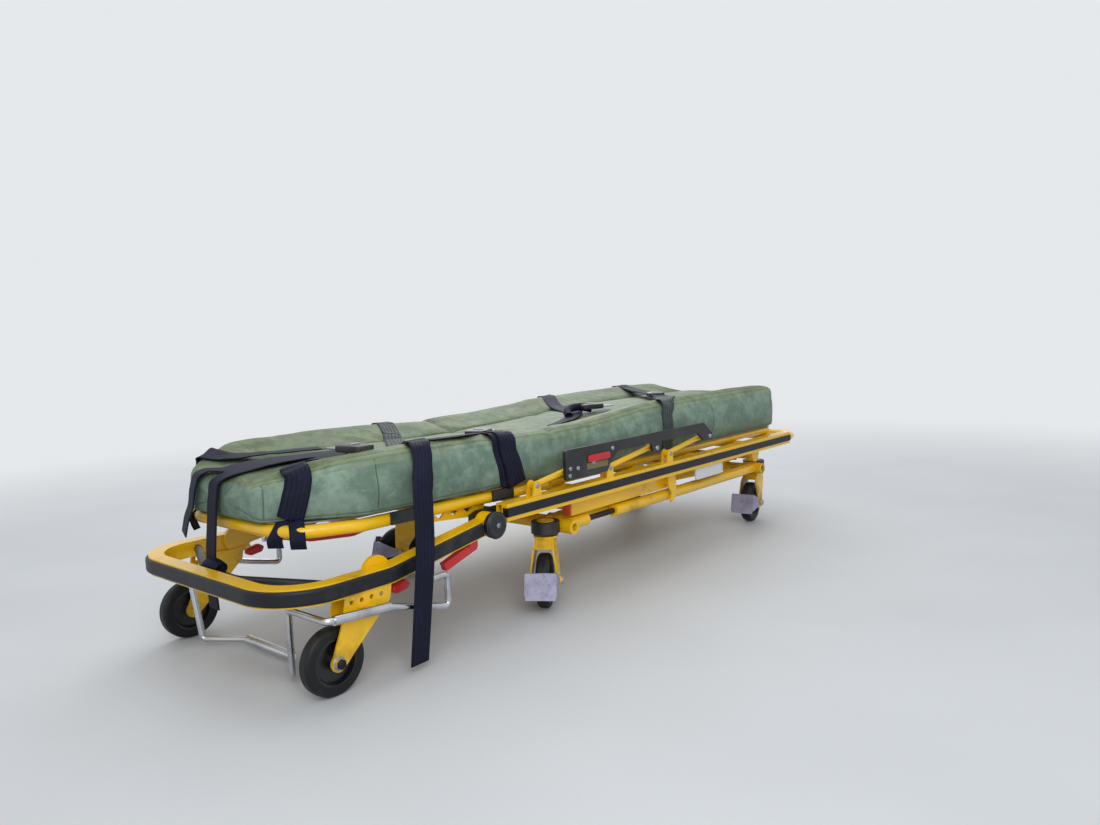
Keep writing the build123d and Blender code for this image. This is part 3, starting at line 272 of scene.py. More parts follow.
def vinyl():
    """Sage-green upholstery vinyl: pebble grain, mottling, bluish sides and an olive top that are painted
    light and shade, edges paled by wear and a painted highlight, painted shade low down, and seams.
    """
    f = Finish("green_vinyl", specular=0.24)
    station, _, height = f.axes(f.place())
    along, around = f.cloth_map()
    side = around.size()
    mottle = f.noise(22.0, 6.0, 0.66)
    cloud = f.noise(6.0, 3.0, 0.55)
    # the olive top, darker and warmer than the sides, is painted shade and painted sunlight; it stops short
    # of the two end faces
    top = side.step(SIDE_HIGH - 0.004, SIDE_HIGH + 0.022)
    top = top * station.step(-0.949, -0.943) * station.step(0.897, 0.890)
    # the bluish sides and the olive top are lit and shaded copies of one vinyl: painted light
    flank = f.mix(mottle.step(0.38, 0.64), srgb(104, 127, 112), srgb(140, 163, 146))
    painted_light_top = f.mix(mottle.step(0.38, 0.64), srgb(82, 96, 64), srgb(120, 130, 92))
    body = f.mix(top, flank, painted_light_top)
    body = f.mix(cloud.step(0.40, 0.64) * 0.35, body, srgb(106, 126, 106))
    # painted shade: the lower part of the cover is darkened
    body = f.mix((height - 0.30).step(0.09, 0.0) * 0.45, body, srgb(84, 104, 92))
    scuff = f.noise(48.0, 4.0, 0.6, f.stretched((1.0, 1.0, 2.4)))
    body = f.mix(scuff.step(0.58, 0.74) * 0.35, body, srgb(156, 176, 156))
    # pale band along the top edges: wear and a painted highlight
    edge = (side - (SIDE_HIGH + 0.010)).size().step(0.022, 0.0) * cloud.step(0.30, 0.62)
    body = f.mix(edge * 0.38, body, srgb(160, 172, 134))
    seam = None
    for place in SEAMS_AROUND:
        line = (around - place).size().step(0.0015, 0.0004)
        seam = line if seam is None else seam + line
    for place in SEAMS_ALONG:
        on_side = side.step(SIDE_LOW - 0.002, SIDE_LOW) * side.step(SIDE_HIGH + 0.006, SIDE_HIGH)
        gap = (along - place).size()
        seam = seam + gap.step(0.0013, 0.0004) * on_side
        row = (gap - 0.0040).size().step(0.0007, 0.0002) * (around * (2 * pi / 0.0045)).wave().step(-0.2, 0.3)
        body = f.mix(row * on_side * 0.35, body, srgb(150, 164, 138))
    f.feed("Base Color", f.mix(seam * 0.50, body, srgb(62, 74, 62)))
    f.feed("Roughness", 0.42 + mottle * 0.20)
    pebble = f.grain(620.0)
    crease = f.noise(38.0, 4.0, 0.6)
    f.bump(pebble * 0.30 + crease * 1.1 - seam * 1.3 + mottle * 0.6, 0.0011)
    return f.material


RIB_PITCH = 0.0085
WEAVE_PITCH = 0.0016


def webbing(name, low, high):
    """Woven belt: ribs that run lengthwise, a fine weave across them and darker edges."""
    f = Finish(name, specular=0.18)
    along, across = f.cloth_map()
    ribs = (across * (2 * pi / RIB_PITCH)).wave() * 0.5 + 0.5
    weave = (along * (2 * pi / WEAVE_PITCH)).wave() * 0.5 + 0.5
    fleck = f.noise(420.0, 2.0, 0.6)
    worn = f.noise(24.0, 3.0, 0.6).step(0.45, 0.70)
    shade = ribs * 0.40 + weave * 0.12 + fleck * 0.40 + worn * 0.25
    edge = across.size().step(0.0205, 0.0235)
    body = f.mix(shade.step(0.15, 1.15), low, high)
    f.feed("Base Color", f.mix(edge * 0.6, body, [c * 0.45 for c in low]))
    f.feed("Roughness", 0.46 + fleck * 0.22 + weave * 0.05)
    f.bump(ribs * 0.55 + weave * 0.35 + fleck * 0.3, 0.0006)
    return f.material


def rubber(name, colour, centre=None, rough=0.55):
    """Black rubber with dust; round a wheel's centre it has fine moulded rings."""
    f = Finish(name, specular=0.35)
    dust = f.noise(22.0, 4.0, 0.6)
    fine = f.noise(500.0, 2.0)
    base = f.mix(dust.step(0.52, 0.78) * 0.30, colour, srgb(84, 81, 76))
    height = fine * 0.4
    if centre:
        x, y, z = f.axes(f.place(centre))
        radius = (x * x + y * y + z * z).root()
        ring = (radius * (2 * pi / 0.0042)).wave().step(0.55, 0.95)
        base = f.mix(ring * 0.35, base, srgb(16, 16, 18))
        height = height - ring * 1.2
    f.feed("Base Color", base)
    f.feed("Roughness", rough + dust * 0.25 - 0.1)
    f.bump(height, 0.0006)
    return f.material


def plastic(name, colour, rough=0.35, fade=0.5):
    """Moulded plastic with a satin texture, handling marks and a little dust."""
    f = Finish(name, coat=0.1)
    dust = f.noise(14.0, 4.0, 0.6)
    marks = f.noise(180.0, 3.0, 0.6)
    pale = [c * (1 - fade * 0.25) + 0.25 * fade * 0.35 for c in colour]
    base = f.mix(dust.step(0.45, 0.72), colour, pale)
    f.feed("Base Color", f.mix(marks.step(0.66, 0.72) * 0.5, base, pale))
    f.feed("Roughness", rough + dust * 0.2 + marks.step(0.6, 0.75) * 0.1)
    f.bump(f.noise(900.0, 2.0) * 0.3 + marks * 0.3, 0.0004)
    return f.material


def metal(name, colour, rough, streak=0.0, pits=0.0, thread=0.0):
    """Bare metal: cloudy roughness, drawn streaks, dark pits, and rolled thread where asked."""
    f = Finish(name, metallic=1.0)
    lines = f.noise(90.0, 3.0, 0.6, f.stretched((0.3, 6.0, 6.0)))
    cloud = f.noise(18.0, 4.0, 0.6)
    base = f.mix(cloud.step(0.42, 0.70), colour, [c * 0.72 for c in colour])
    pit = f.noise(260.0, 3.0, 0.6).step(0.60, 0.66) * pits
    f.feed("Base Color", f.mix(pit, base, srgb(70, 66, 62)))
    f.feed("Roughness", rough + cloud * 0.16 + lines * streak * 0.2 + pit * 0.3)
    height = lines * streak * 0.5 - pit * 0.8 + f.noise(700.0, 2.0) * 0.15
    if thread:
        along = f.axes(f.place())[0]
        height = height + (along * (2 * pi / thread)).wave() * 1.5
    f.bump(height, 0.0004)
    return f.material


# Mesh helpers

def unit(vectors):
    """Vectors scaled to length 1."""
    return vectors / (np.linalg.norm(vectors, axis=-1, keepdims=True) + 1e-12)


def run_length(points):
    """Length along a line up to each of its points."""
    return np.r_[0, np.cumsum(np.linalg.norm(np.diff(points, axis=0), axis=1))]


def quads(rows, columns, wrap_rows=False, wrap_columns=False):
    """Corners of a grid's faces, and of its flat copy, which is one row and column longer."""
    i, j = np.meshgrid(
        np.arange(rows if wrap_rows else rows - 1),
        np.arange(columns if wrap_columns else columns - 1),
        indexing="ij",
    )
    i, j = i.ravel(), j.ravel()
    row = np.stack((i, i + 1, i + 1, i), axis=1)
    column = np.stack((j, j, j + 1, j + 1), axis=1)
    return (row % rows) * columns + column % columns, row * (columns + 1) + column


def closed_grid(rows, columns, flip=False):
    """Faces of a grid that closes round its columns and is capped at both ends; flip turns them over."""
    caps = [list(range(columns))[::-1], list(range((rows - 1) * columns, rows * columns))]
    faces = quads(rows, columns, wrap_columns=True)[0].tolist() + caps
    return [face[::-1] for face in faces] if flip else faces


def own(piece, body):
    """Let a piece ride a body; for the fold, bake its place into its mesh instead."""
    if body == "fold":
        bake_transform(piece)
    else:
        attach(piece, body)
    return piece


def new_piece(name, points, faces, material, chart=None, smooth=True):
    """Object at the origin with its place in its mesh; chart gives two map values for each corner."""
    mesh = bpy.data.meshes.new(name)
    mesh.from_pydata(np.reshape(points, (-1, 3)).tolist(), [], [list(face) for face in faces])
    mesh.polygons.foreach_set("use_smooth", [smooth] * len(mesh.polygons))
    if chart is not None:
        layer = mesh.uv_layers.new(name="UVMap")
        layer.data.foreach_set("uv", np.asarray(chart, dtype=np.float32).ravel())
    mesh.materials.append(material)
    piece = bpy.data.objects.new(name, mesh)
    scene.collection.objects.link(piece)
    return piece


def settled(piece):
    """Replace a piece's mesh by what its modifiers make of it."""
    view = bpy.context.evaluated_depsgraph_get()
    view.update()
    made = bpy.data.meshes.new_from_object(piece.evaluated_get(view))
    piece.modifiers.clear()
    piece.data = made
    return piece


def frame_for(axis):
    """An axis as a unit vector, and two unit vectors across it."""
    axis = unit(np.asarray(axis, dtype=float))
    guide = np.array((0.0, 0.0, 1.0)) if abs(axis[2]) < 0.9 else np.array((1.0, 0.0, 0.0))
    side = unit(np.cross(guide, axis))
    return axis, side, np.cross(axis, side)


def turned(name, profile, centre, axis, finish, body, sides, flats=0):
    """Surface of revolution: each (along, radius) pair of the profile is carried round the axis;
    with flats, the radius is divided by the cosine of the angle to the nearest flat's middle."""
    along, radius = np.array(profile).T
    angle = np.linspace(0, 2 * pi, sides, endpoint=False)
    reach = np.ones(sides)
    if flats:
        step = 2 * pi / flats
        reach = 1 / np.cos((angle + step / 2) % step - step / 2)
    axis, side, up = frame_for(axis)
    spoke = (np.cos(angle) * reach)[:, None] * side + (np.sin(angle) * reach)[:, None] * up
    points = np.asarray(centre) + along[:, None, None] * axis + radius[:, None, None] * spoke
    return own(new_piece(name, points, closed_grid(len(along), sides), finish[0]), body)


def tube(name, path, radius, finish, body, sides):
    """Round bar: circles of the radius set square to the path's direction at each point."""
    path = smooth_path(path)
    ahead = unit(np.gradient(path, axis=0))
    side = unit(np.cross(ahead, (0.0, 0.0, 1.0)))
    up = np.cross(side, ahead)
    angle = np.linspace(0, 2 * pi, sides, endpoint=False)
    ring = np.cos(angle)[None, :, None] * side[:, None] + np.sin(angle)[None, :, None] * up[:, None]
    faces = closed_grid(len(path), sides, flip=True)
    return own(new_piece(name, path[:, None] + radius * ring, faces, finish[0]), body)


def smooth_path(points, count=48):
    """Curve through given points: cubic Hermite runs with central slopes, evenly sampled."""
    points = np.asarray(points, dtype=float)
    chord = run_length(points)
    slope = np.gradient(points, chord, axis=0)
    place = np.linspace(0, chord[-1], count)
    run = np.clip(np.searchsorted(chord, place, side="right") - 1, 0, len(points) - 2)
    length = (chord[run + 1] - chord[run])[:, None]
    t = ((place - chord[run])[:, None]) / length
    return (
        (2 * t**3 - 3 * t**2 + 1) * points[run]
        + (t**3 - 2 * t**2 + t) * length * slope[run]
        + (3 * t**2 - 2 * t**3) * points[run + 1]
        + (t**3 - t**2) * length * slope[run + 1]
    )


BLOCK_CELLS = 18


def block(name, low, high, square, finish, body, turn=0.0):
    """Rounded block: a sphere's sines and cosines raised to a power below 1, and stretched to
    the box between two corners, then turned about Z round its middle."""
    low, high = np.array(low), np.array(high)
    half, middle = (high - low) / 2, (high + low) / 2
    v = np.linspace(-pi / 2, pi / 2, BLOCK_CELLS)[:, None]
    u = np.linspace(-pi, pi, 2 * BLOCK_CELLS, endpoint=False)[None, :]
    power = lambda value: np.sign(value) * np.abs(value) ** square
    x = power(np.cos(v)) * power(np.cos(u)) * half[0]
    y = power(np.cos(v)) * power(np.sin(u)) * half[1]
    z = power(np.sin(v)) * half[2] + 0 * u
    points = np.stack((x * cos(turn) - y * sin(turn), x * sin(turn) + y * cos(turn), z), axis=-1) + middle
    faces = quads(BLOCK_CELLS, 2 * BLOCK_CELLS, wrap_columns=True)[0]
    piece = new_piece(name, points, faces.tolist(), finish[0])
    weld = piece.modifiers.new("weld", "WELD")
    weld.merge_threshold = 0.00002
    return own(settled(piece), body)


def plate(name, outline, inner_y, outer_y, finish, body, rim=0.0015):
    """Flat plate in X and Z between two values of Y, with a small bevel on its edges."""
    count = len(outline)
    rings = [[(x, y, z) for x, z in outline] for y in (inner_y, outer_y)]
    faces = [[k, (k + 1) % count, count + (k + 1) % count, count + k] for k in range(count)]
    faces += [list(range(count))[::-1], list(range(count, 2 * count))]
    piece = new_piece(name, rings, faces, finish[0], smooth=False)
    bevel = piece.modifiers.new("edges", "BEVEL")
    bevel.width = rim
    bevel.segments = 2
    face_out(settled(piece))
    return own(piece, body)


def face_out(piece):
    """Turn a closed mesh's faces outwards."""
    work = bmesh.new()
    work.from_mesh(piece.data)
    bmesh.ops.recalc_face_normals(work, faces=work.faces)
    work.to_mesh(piece.data)
    work.free()


# Mattress

CORNER_LOW_R = 0.014
CORNER_TOP_R = 0.017
SHELL_T = 0.127
CORE_Z = 0.355
SWELL_FRAMES = 20
GRID_PITCH = 0.0125
TROUGH_EDGE = 0.232
TROUGH_FLOOR = 0.100


def half_profile():
    """Half of the mattress's outline across the stretcher, from the middle of its base out and up
    to the middle of its top: two straight runs and a side joined by quarter circles.
    Gives length so far, half width and height as a share of the thickness."""
    turn = np.linspace(0, pi / 2, 7)
    base = np.linspace(0, MATTRESS_HALF - CORNER_LOW_R, 26, endpoint=False)
    low = np.stack((MATTRESS_HALF - CORNER_LOW_R * (1 - np.sin(turn)), CORNER_LOW_R * (1 - np.cos(turn))), 1)
    high = np.stack((MATTRESS_HALF - CORNER_TOP_R * (1 - np.cos(turn)),
                     SHELL_T - CORNER_TOP_R * (1 - np.sin(turn))), 1)
    top = np.linspace(MATTRESS_HALF - CORNER_TOP_R, 0, 30)[1:]
    points = np.concatenate((np.stack((base, 0 * base), 1), low, high, np.stack((top, 0 * top + SHELL_T), 1)))
    return run_length(points), points[:, 0], points[:, 1] / SHELL_T


PROFILE_S, PROFILE_Y, PROFILE_Z = half_profile()
PROFILE_LENGTH = PROFILE_S[-1]
SIDE_LOW = MATTRESS_HALF - CORNER_LOW_R + CORNER_LOW_R * pi / 2
SIDE_HIGH = SIDE_LOW + SHELL_T - CORNER_LOW_R - CORNER_TOP_R
SEAMS_AROUND = (-PROFILE_LENGTH + 0.105, -SIDE_LOW + 0.004, SIDE_LOW - 0.004, PROFILE_LENGTH - 0.105)
SEAMS_ALONG = (-0.938, -0.770, 0.470)
# station, half width, height of the near and of the far bolster, depth of the trough
STATIONS = np.array((
    (-0.948, 0.110, 0.373, 0.378, 0.001),
    (-0.942, 0.124, 0.376, 0.382, 0.002),
    (-0.930, 0.140, 0.380, 0.389, 0.004),
    (-0.900, 0.165, 0.388, 0.401, 0.010),
    (-0.870, 0.190, 0.400, 0.409, 0.017),
    (-0.835, 0.219, 0.409, 0.414, 0.023),
    (-0.804, 0.242, 0.414, 0.417, 0.027),
    (-0.785, 0.249, 0.416, 0.417, 0.029),
    (-0.740, 0.251, 0.418, 0.418, 0.030),
    (-0.620, 0.251, 0.418, 0.419, 0.031),
    (-0.474, 0.251, 0.416, 0.418, 0.031),
    (-0.380, 0.250, 0.409, 0.414, 0.029),
    (-0.250, 0.249, 0.404, 0.410, 0.024),
    (-0.100, 0.250, 0.405, 0.413, 0.022),
    (0.000, 0.251, 0.414, 0.417, 0.023),
    (0.090, 0.251, 0.422, 0.421, 0.024),
    (0.170, 0.251, 0.428, 0.429, 0.024),
    (0.400, 0.251, 0.430, 0.434, 0.025),
    (0.700, 0.251, 0.431, 0.435, 0.025),
    (0.850, 0.250, 0.429, 0.432, 0.024),
    (0.880, 0.246, 0.425, 0.428, 0.020),
    (0.895, 0.240, 0.418, 0.420, 0.016),
))
END_R = 0.010


def lift(x):
    """Rise of the tipped backrest at a station."""
    return np.maximum(0.0, BACK_HINGE[0] - x) * sin(BACK_TILT)


def mattress_skin(x, s, hollow=1.0):
    """Point on the mattress's cover. x is the station; s is the length round the reference outline,
    0 in the middle of the base, negative on the near side. The outline is narrowed to the half width,
    stretched to the bolster height, sunk in the trough by a smooth step of the distance from the
    middle times the hollow, and drawn in by a quarter circle at both ends."""
    x, s = np.broadcast_arrays(np.asarray(x, dtype=float), np.asarray(s, dtype=float))
    s = (s + PROFILE_LENGTH) % (2 * PROFILE_LENGTH) - PROFILE_LENGTH
    half, near, far, depth = (np.interp(x, STATIONS[:, 0], column) for column in STATIONS.T[1:])
    base = MATTRESS_LOW + lift(x)
    share = np.interp(np.abs(s), PROFILE_S, PROFILE_Z)
    flat = np.interp(np.abs(s), PROFILE_S, PROFILE_Y)
    ridge = near + (far - near) * (0.5 + 0.5 * np.sign(s) * np.clip(flat / MATTRESS_HALF, 0.0, 1.0))
    ends = np.minimum(x - STATIONS[0, 0], STATIONS[-1, 0] - x)
    short = np.clip(END_R - ends, 0.0, END_R)
    draw = END_R - np.sqrt(END_R**2 - short**2)
    sink = np.clip((TROUGH_EDGE - flat) / (TROUGH_EDGE - TROUGH_FLOOR), 0.0, 1.0)
    sink = sink * sink * (3 - 2 * sink) * (share > 0.99)
    belly = np.sin(pi * np.clip(share, 0.0, 1.0)) * 0.003
    crown = np.exp(-((flat - 0.222) / 0.016) ** 2) * (share > 0.99) * 0.001
    tall = ridge - base
    z = base + share * tall - sink * depth * hollow + crown
    middle = base + tall / 2
    z = middle + (z - middle) * (1 - 2 * draw / tall)
    y = np.sign(s) * (flat * half / MATTRESS_HALF + belly) * (1 - draw / half)
    fold = np.exp(-((x - BACK_HINGE[0]) / 0.010) ** 2) * (share > 0.2)
    z = z - fold * (share > 0.9) * 0.004
    y = y - np.sign(s) * fold * 0.003 * (share < 0.99)
    return np.stack((x, y, z), axis=-1)


def outward(ahead, around, places):
    """Unit vectors square to two slopes of the cover, turned away from the mattress's core."""
    out = unit(np.cross(around, ahead))
    lean = np.sum(out * (places - np.array((0, 0, CORE_Z))) * (0, 1, 1), axis=-1)
    return out * np.where(lean < 0, -1, 1)[..., None]


def creases(x, s):
    """Small folds of the cover, in metres outwards: short sine ripples faded out by bell curves."""
    near = np.abs(s)
    out = 0.0010 * np.sin(x * 23 + 3 * np.sin(near * 19)) * np.sin(near * 31 + x * 7)
    # station, length round the outline, reach along, reach round, waves per metre, height
    for cx, cs, rx, rs, waves, high in (
        (-0.335, 0.330, 0.045, 0.045, 30.0, 0.0022),
        (-0.300, 0.360, 0.035, 0.030, 42.0, 0.0016),
        (-0.880, 0.320, 0.030, 0.050, 26.0, 0.0018),
        (-0.700, 0.330, 0.050, 0.050, 16.0, 0.0014),
        (0.230, 0.340, 0.045, 0.045, 24.0, 0.0016),
        (0.650, 0.340, 0.060, 0.045, 18.0, 0.0014),
        (-0.520, 0.480, 0.090, 0.040, 14.0, 0.0016),
        (0.100, 0.520, 0.110, 0.050, 12.0, 0.0018),
    ):
        bell = np.exp(-(((x - cx) / rx) ** 2) - ((near - cs) / rs) ** 2)
        out = out + high * bell * np.sin(2 * pi * waves * (x - cx) + 18 * (near - cs))
    return out


def spaced(low, high, pitch, seams):
    """Even steps with closer ones beside each seam."""
    even = np.linspace(low, high, int(round((high - low) / pitch)) + 1)
    close = np.concatenate([place + np.array((-6, -3, -1.2, 0, 1.2, 3, 6)) / 1000 for place in seams])
    away = np.min(np.abs(even[:, None] - close[None, :]), axis=1) > 0.003
    return np.unique(np.r_[even[away | (even == low) | (even == high)], close])


def make_mattress(material):
    """Closed grid round and along the mattress, puffed by air pressure between its seams."""
    around = spaced(-PROFILE_LENGTH, PROFILE_LENGTH, GRID_PITCH, SEAMS_AROUND)[:-1]
    along = spaced(STATIONS[0, 0], STATIONS[-1, 0], GRID_PITCH, (*SEAMS_ALONG, BACK_HINGE[0]))
    ends = np.array((0.0010, 0.0030, 0.0060, 0.0100))
    along = np.unique(np.r_[along, STATIONS[0, 0] + ends, STATIONS[-1, 0] - ends])
    x, s = np.meshgrid(along, around, indexing="ij")
    skin = mattress_skin(x, s)
    out = outward(np.gradient(skin, axis=0), np.gradient(skin, axis=1), skin)
    seam = np.min(np.abs(s[..., None] - np.array(SEAMS_AROUND)), axis=-1)
    groove = 0.0014 * np.exp(-((seam / 0.0026) ** 2))
    side = (np.abs(s) > SIDE_LOW) & (np.abs(s) < SIDE_HIGH)
    for place in SEAMS_ALONG:
        groove = groove + 0.0010 * np.exp(-(((x - place) / 0.0026) ** 2)) * side
    skin = skin + out * (creases(x, s) * (np.abs(s) > SIDE_LOW) - groove)[..., None]
    # each end is closed by rings that shrink towards its middle
    rings = [skin]
    for end, way in ((0, -1), (-1, 1)):
        middle = skin[end].mean(axis=0)
        for share, bulge in ((0.80, 0.0012), (0.50, 0.0024), (0.20, 0.0030), (0.03, 0.0030)):
            ring = middle + (skin[end] - middle) * share + np.array((way * bulge, 0, 0))
            rings.insert(0, ring[None]) if way < 0 else rings.append(ring[None])
    points = np.concatenate(rings)
    rows, columns = points.shape[:2]
    flat = quads(rows, columns, wrap_columns=True)[1]
    u = np.r_[np.full(4, along[0]), along, np.full(4, along[-1])]
    v = np.r_[around, PROFILE_LENGTH]
    chart = np.stack(np.broadcast_arrays(u[:, None], v[None, :]), axis=-1).reshape(-1, 2)[flat]
    chart = np.concatenate((chart.reshape(-1, 2), np.zeros((2 * columns, 2))))
    piece = new_piece("mattress", points, closed_grid(rows, columns, flip=True), material, chart)
    face_out(piece)
    still = np.zeros((rows, columns), dtype=bool)
    still[:, np.abs(around) < SIDE_LOW + 0.004] = True
    still[4:-4] |= seam < 0.0016
    still[:6] = still[-6:] = True
    swell(piece, np.flatnonzero(still.ravel()), cap=0.006)
    smooth = piece.modifiers.new("smooth", "SUBSURF")
    smooth.levels = smooth.render_levels = 1
    settled(piece)
    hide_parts("mattress_back", "mattress_seat", "mattress_fold")
    return piece


def swell(piece, pinned, cap):
    """Puff a closed cover with cloth under pressure; no point moves further than the cap."""
    count = len(piece.data.vertices)
    before = np.empty(count * 3)
    piece.data.vertices.foreach_get("co", before)
    piece.vertex_groups.new(name="seams").add(pinned.tolist(), 1.0, "REPLACE")
    cloth = piece.modifiers.new("cloth", "CLOTH")
    settings = cloth.settings
    settings.quality = 5
    settings.mass = 0.35
    settings.tension_stiffness = settings.compression_stiffness = 20
    settings.shear_stiffness = 8
    settings.bending_stiffness = 1.5
    settings.use_pressure = True
    settings.uniform_pressure_force = 4
    settings.vertex_group_mass = "seams"
    settings.effector_weights.gravity = 0
    cloth.collision_settings.use_collision = False
    cloth.point_cache.frame_start = 1
    cloth.point_cache.frame_end = SWELL_FRAMES
    for number in range(1, SWELL_FRAMES + 1):
        scene.frame_set(number)
    view = bpy.context.evaluated_depsgraph_get()
    after = np.empty(count * 3)
    piece.evaluated_get(view).data.vertices.foreach_get("co", after)
    move = (after - before).reshape(-1, 3)
    far = np.linalg.norm(move, axis=1)[:, None]
    move *= np.minimum(1.0, cap / np.maximum(far, 1e-9))
    piece.modifiers.clear()
    piece.vertex_groups.clear()
    piece.data.vertices.foreach_set("co", before + move.ravel())
    scene.frame_set(1)


# Belts

BELT_W = 0.045
BELT_T = 0.0022


def belt(name, centre, across, material, width, target=None, clear=0.0, start=0.0):
    """Strip of webbing: each point of the centre line is spread along its own across direction,
    lifted clear of the mattress, and given its thickness."""
    centre = np.asarray(centre, dtype=float)
    across = unit(np.asarray(across, dtype=float))
    width = np.broadcast_to(np.asarray(width, dtype=float), len(centre))
    spread = np.linspace(-0.5, 0.5, 9)
    points = centre[:, None] + across[:, None] * (spread[None, :] * width[:, None])[..., None]
    rows, columns = points.shape[:2]
    faces = quads(rows, columns)[0]
    length = start + run_length(centre)
    u, v = np.broadcast_arrays(length[:, None], spread[None, :] * BELT_W)
    chart = np.stack((u, v), axis=-1).reshape(-1, 2)[faces]
    piece = new_piece(name, points, faces.tolist(), material, chart)
    if target:
        wrap = piece.modifiers.new("wrap", "SHRINKWRAP")
        wrap.target = target
        wrap.wrap_method = "NEAREST_SURFACEPOINT"
        wrap.wrap_mode = "OUTSIDE"
        wrap.offset = clear
        settled(piece)
    wall = piece.modifiers.new("thickness", "SOLIDIFY")
    wall.thickness = BELT_T
    wall.offset = 0.0
    wall.use_even_offset = False
    return settled(piece)


def over_mattress(side, rise, hollow, stops, count):
    """Centre line and across directions of a belt that lies on the cover. Its stops are station and
    signed half width on the top, or station, height and "side" on the side where it ends; they are
    turned into lengths round the outline. The line follows the skin, across is square to it, and
    with a hollow below 1 the belt bridges the trough."""
    stops = np.array([
        (x, side * (SIDE_LOW + value - MATTRESS_LOW - CORNER_LOW_R) if flank
         else side * PROFILE_LENGTH - value)
        for x, value, *flank in stops
    ])
    place = np.linspace(0, run_length(stops)[-1], count)
    curve = smooth_path(np.c_[stops, 0 * stops[:, :1]], count)
    x, s = curve[:, 0], curve[:, 1]
    small = 0.003
    here = mattress_skin(x, s, hollow)
    to_foot = mattress_skin(x + small, s, hollow) - mattress_skin(x - small, s, hollow)
    around = mattress_skin(x, s + small, hollow) - mattress_skin(x, s - small, hollow)
    out = outward(to_foot, around, here)
    return here + out * rise, np.cross(out, np.gradient(here, place, axis=0))


def hanging(points, across, count):
    """Free stretch of webbing through given points, with one across direction or a pair."""
    line = smooth_path(points, count)
    across = np.asarray(across, dtype=float)
    if across.ndim == 1:
        across = np.repeat(across[None], count, axis=0)
    else:
        share = np.linspace(0, 1, count)[:, None]
        across = across[0] * (1 - share) + across[1] * share
    return line, across


# CAD nodes that two of the belts stand for
BELTS_FOR = {"chest_belt_near": "back_straps", "thigh_belt_far": "leg_straps"}
# points of a laid belt's centre line, and metres by which each belt's weave is shifted from the last
LAID_COUNT = 110
MAP_SHIFT = 0.37
# Belts that lie on the cover: name, body, finish, width, side they end on, height above the cover,
# share of the trough that they sink into, and stops
LAID_BELTS = (
    # the pale finish is painted highlight on belts of the navy webbing
    ("chest_belt_far", "backrest", "pale", 0.045, 1, 0.0018, 1.0,
     ((-0.372, 0.300, "side"), (-0.374, 0.380, "side"), (-0.378, 0.228), (-0.398, 0.180), (-0.452, 0.092),
      (-0.520, 0.000), (-0.606, -0.118))),
    ("chest_belt_near", "backrest", "navy", 0.042, -1, 0.0022, 0.8,
     ((-0.585, -0.100), (-0.620, -0.170), (-0.655, -0.236), (-0.661, 0.375, "side"),
      (-0.662, 0.300, "side"))),
    ("waist_belt_near", "fold", "navy", 0.056, -1, 0.0022, 0.7,
     ((-0.366, -0.110), (-0.392, -0.155), (-0.424, -0.210), (-0.434, 0.385, "side"), (-0.424, 0.345, "side"),
      (-0.408, 0.298, "side"))),
    ("waist_belt_layer", "fold", "navy", 0.052, -1, 0.0048, 0.7,
     ((-0.362, -0.105), (-0.384, -0.150), (-0.410, -0.210), (-0.418, 0.380, "side"), (-0.408, 0.345, "side"),
      (-0.391, 0.300, "side"))),
    ("bolster_belt", "fold", "navy", 0.040, -1, 0.0022, 0.35,
     ((-0.645, -0.175), (-0.590, -0.206), (-0.540, -0.212), (-0.470, -0.196), (-0.425, -0.168))),
    ("corner_belt_near", "backrest", "navy", 0.048, -1, 0.0030, 0.6,
     ((-0.700, -0.060), (-0.785, -0.110), (-0.860, -0.160), (-0.893, 0.372, "side"), (-0.898, 0.340, "side"),
      (-0.904, 0.300, "side"))),
    ("corner_belt_far", "backrest", "navy", 0.048, 1, 0.0030, 0.6,
     ((-0.700, 0.030), (-0.790, 0.070), (-0.866, 0.140), (-0.893, 0.372, "side"), (-0.898, 0.340, "side"),
      (-0.904, 0.300, "side"))),
    ("thigh_belt_far", "litter", "navy", 0.045, 1, 0.0018, 0.8,
     ((0.300, 0.298, "side"), (0.292, 0.385, "side"), (0.272, 0.228), (0.205, 0.140), (0.140, 0.040),
      (0.100, -0.030))),
    ("thigh_belt_tip", "litter", "navy", 0.038, 1, 0.0040, 0.8,
     ((0.125, -0.010), (0.060, -0.060), (-0.020, -0.098), (-0.100, -0.120))),
    ("shin_belt_far", "litter", "navy", 0.045, 1, 0.0020, 0.25,
     ((0.690, 0.298, "side"), (0.686, 0.385, "side"), (0.668, 0.225), (0.560, 0.060), (0.455, -0.070),
      (0.330, -0.190))),
    ("shin_belt_near", "litter", "pale", 0.048, -1, 0.0032, 0.25,
     ((0.380, -0.145), (0.300, -0.200), (0.246, -0.232), (0.222, 0.390, "side"), (0.216, 0.350, "side"),
      (0.222, 0.298, "side"))),
)


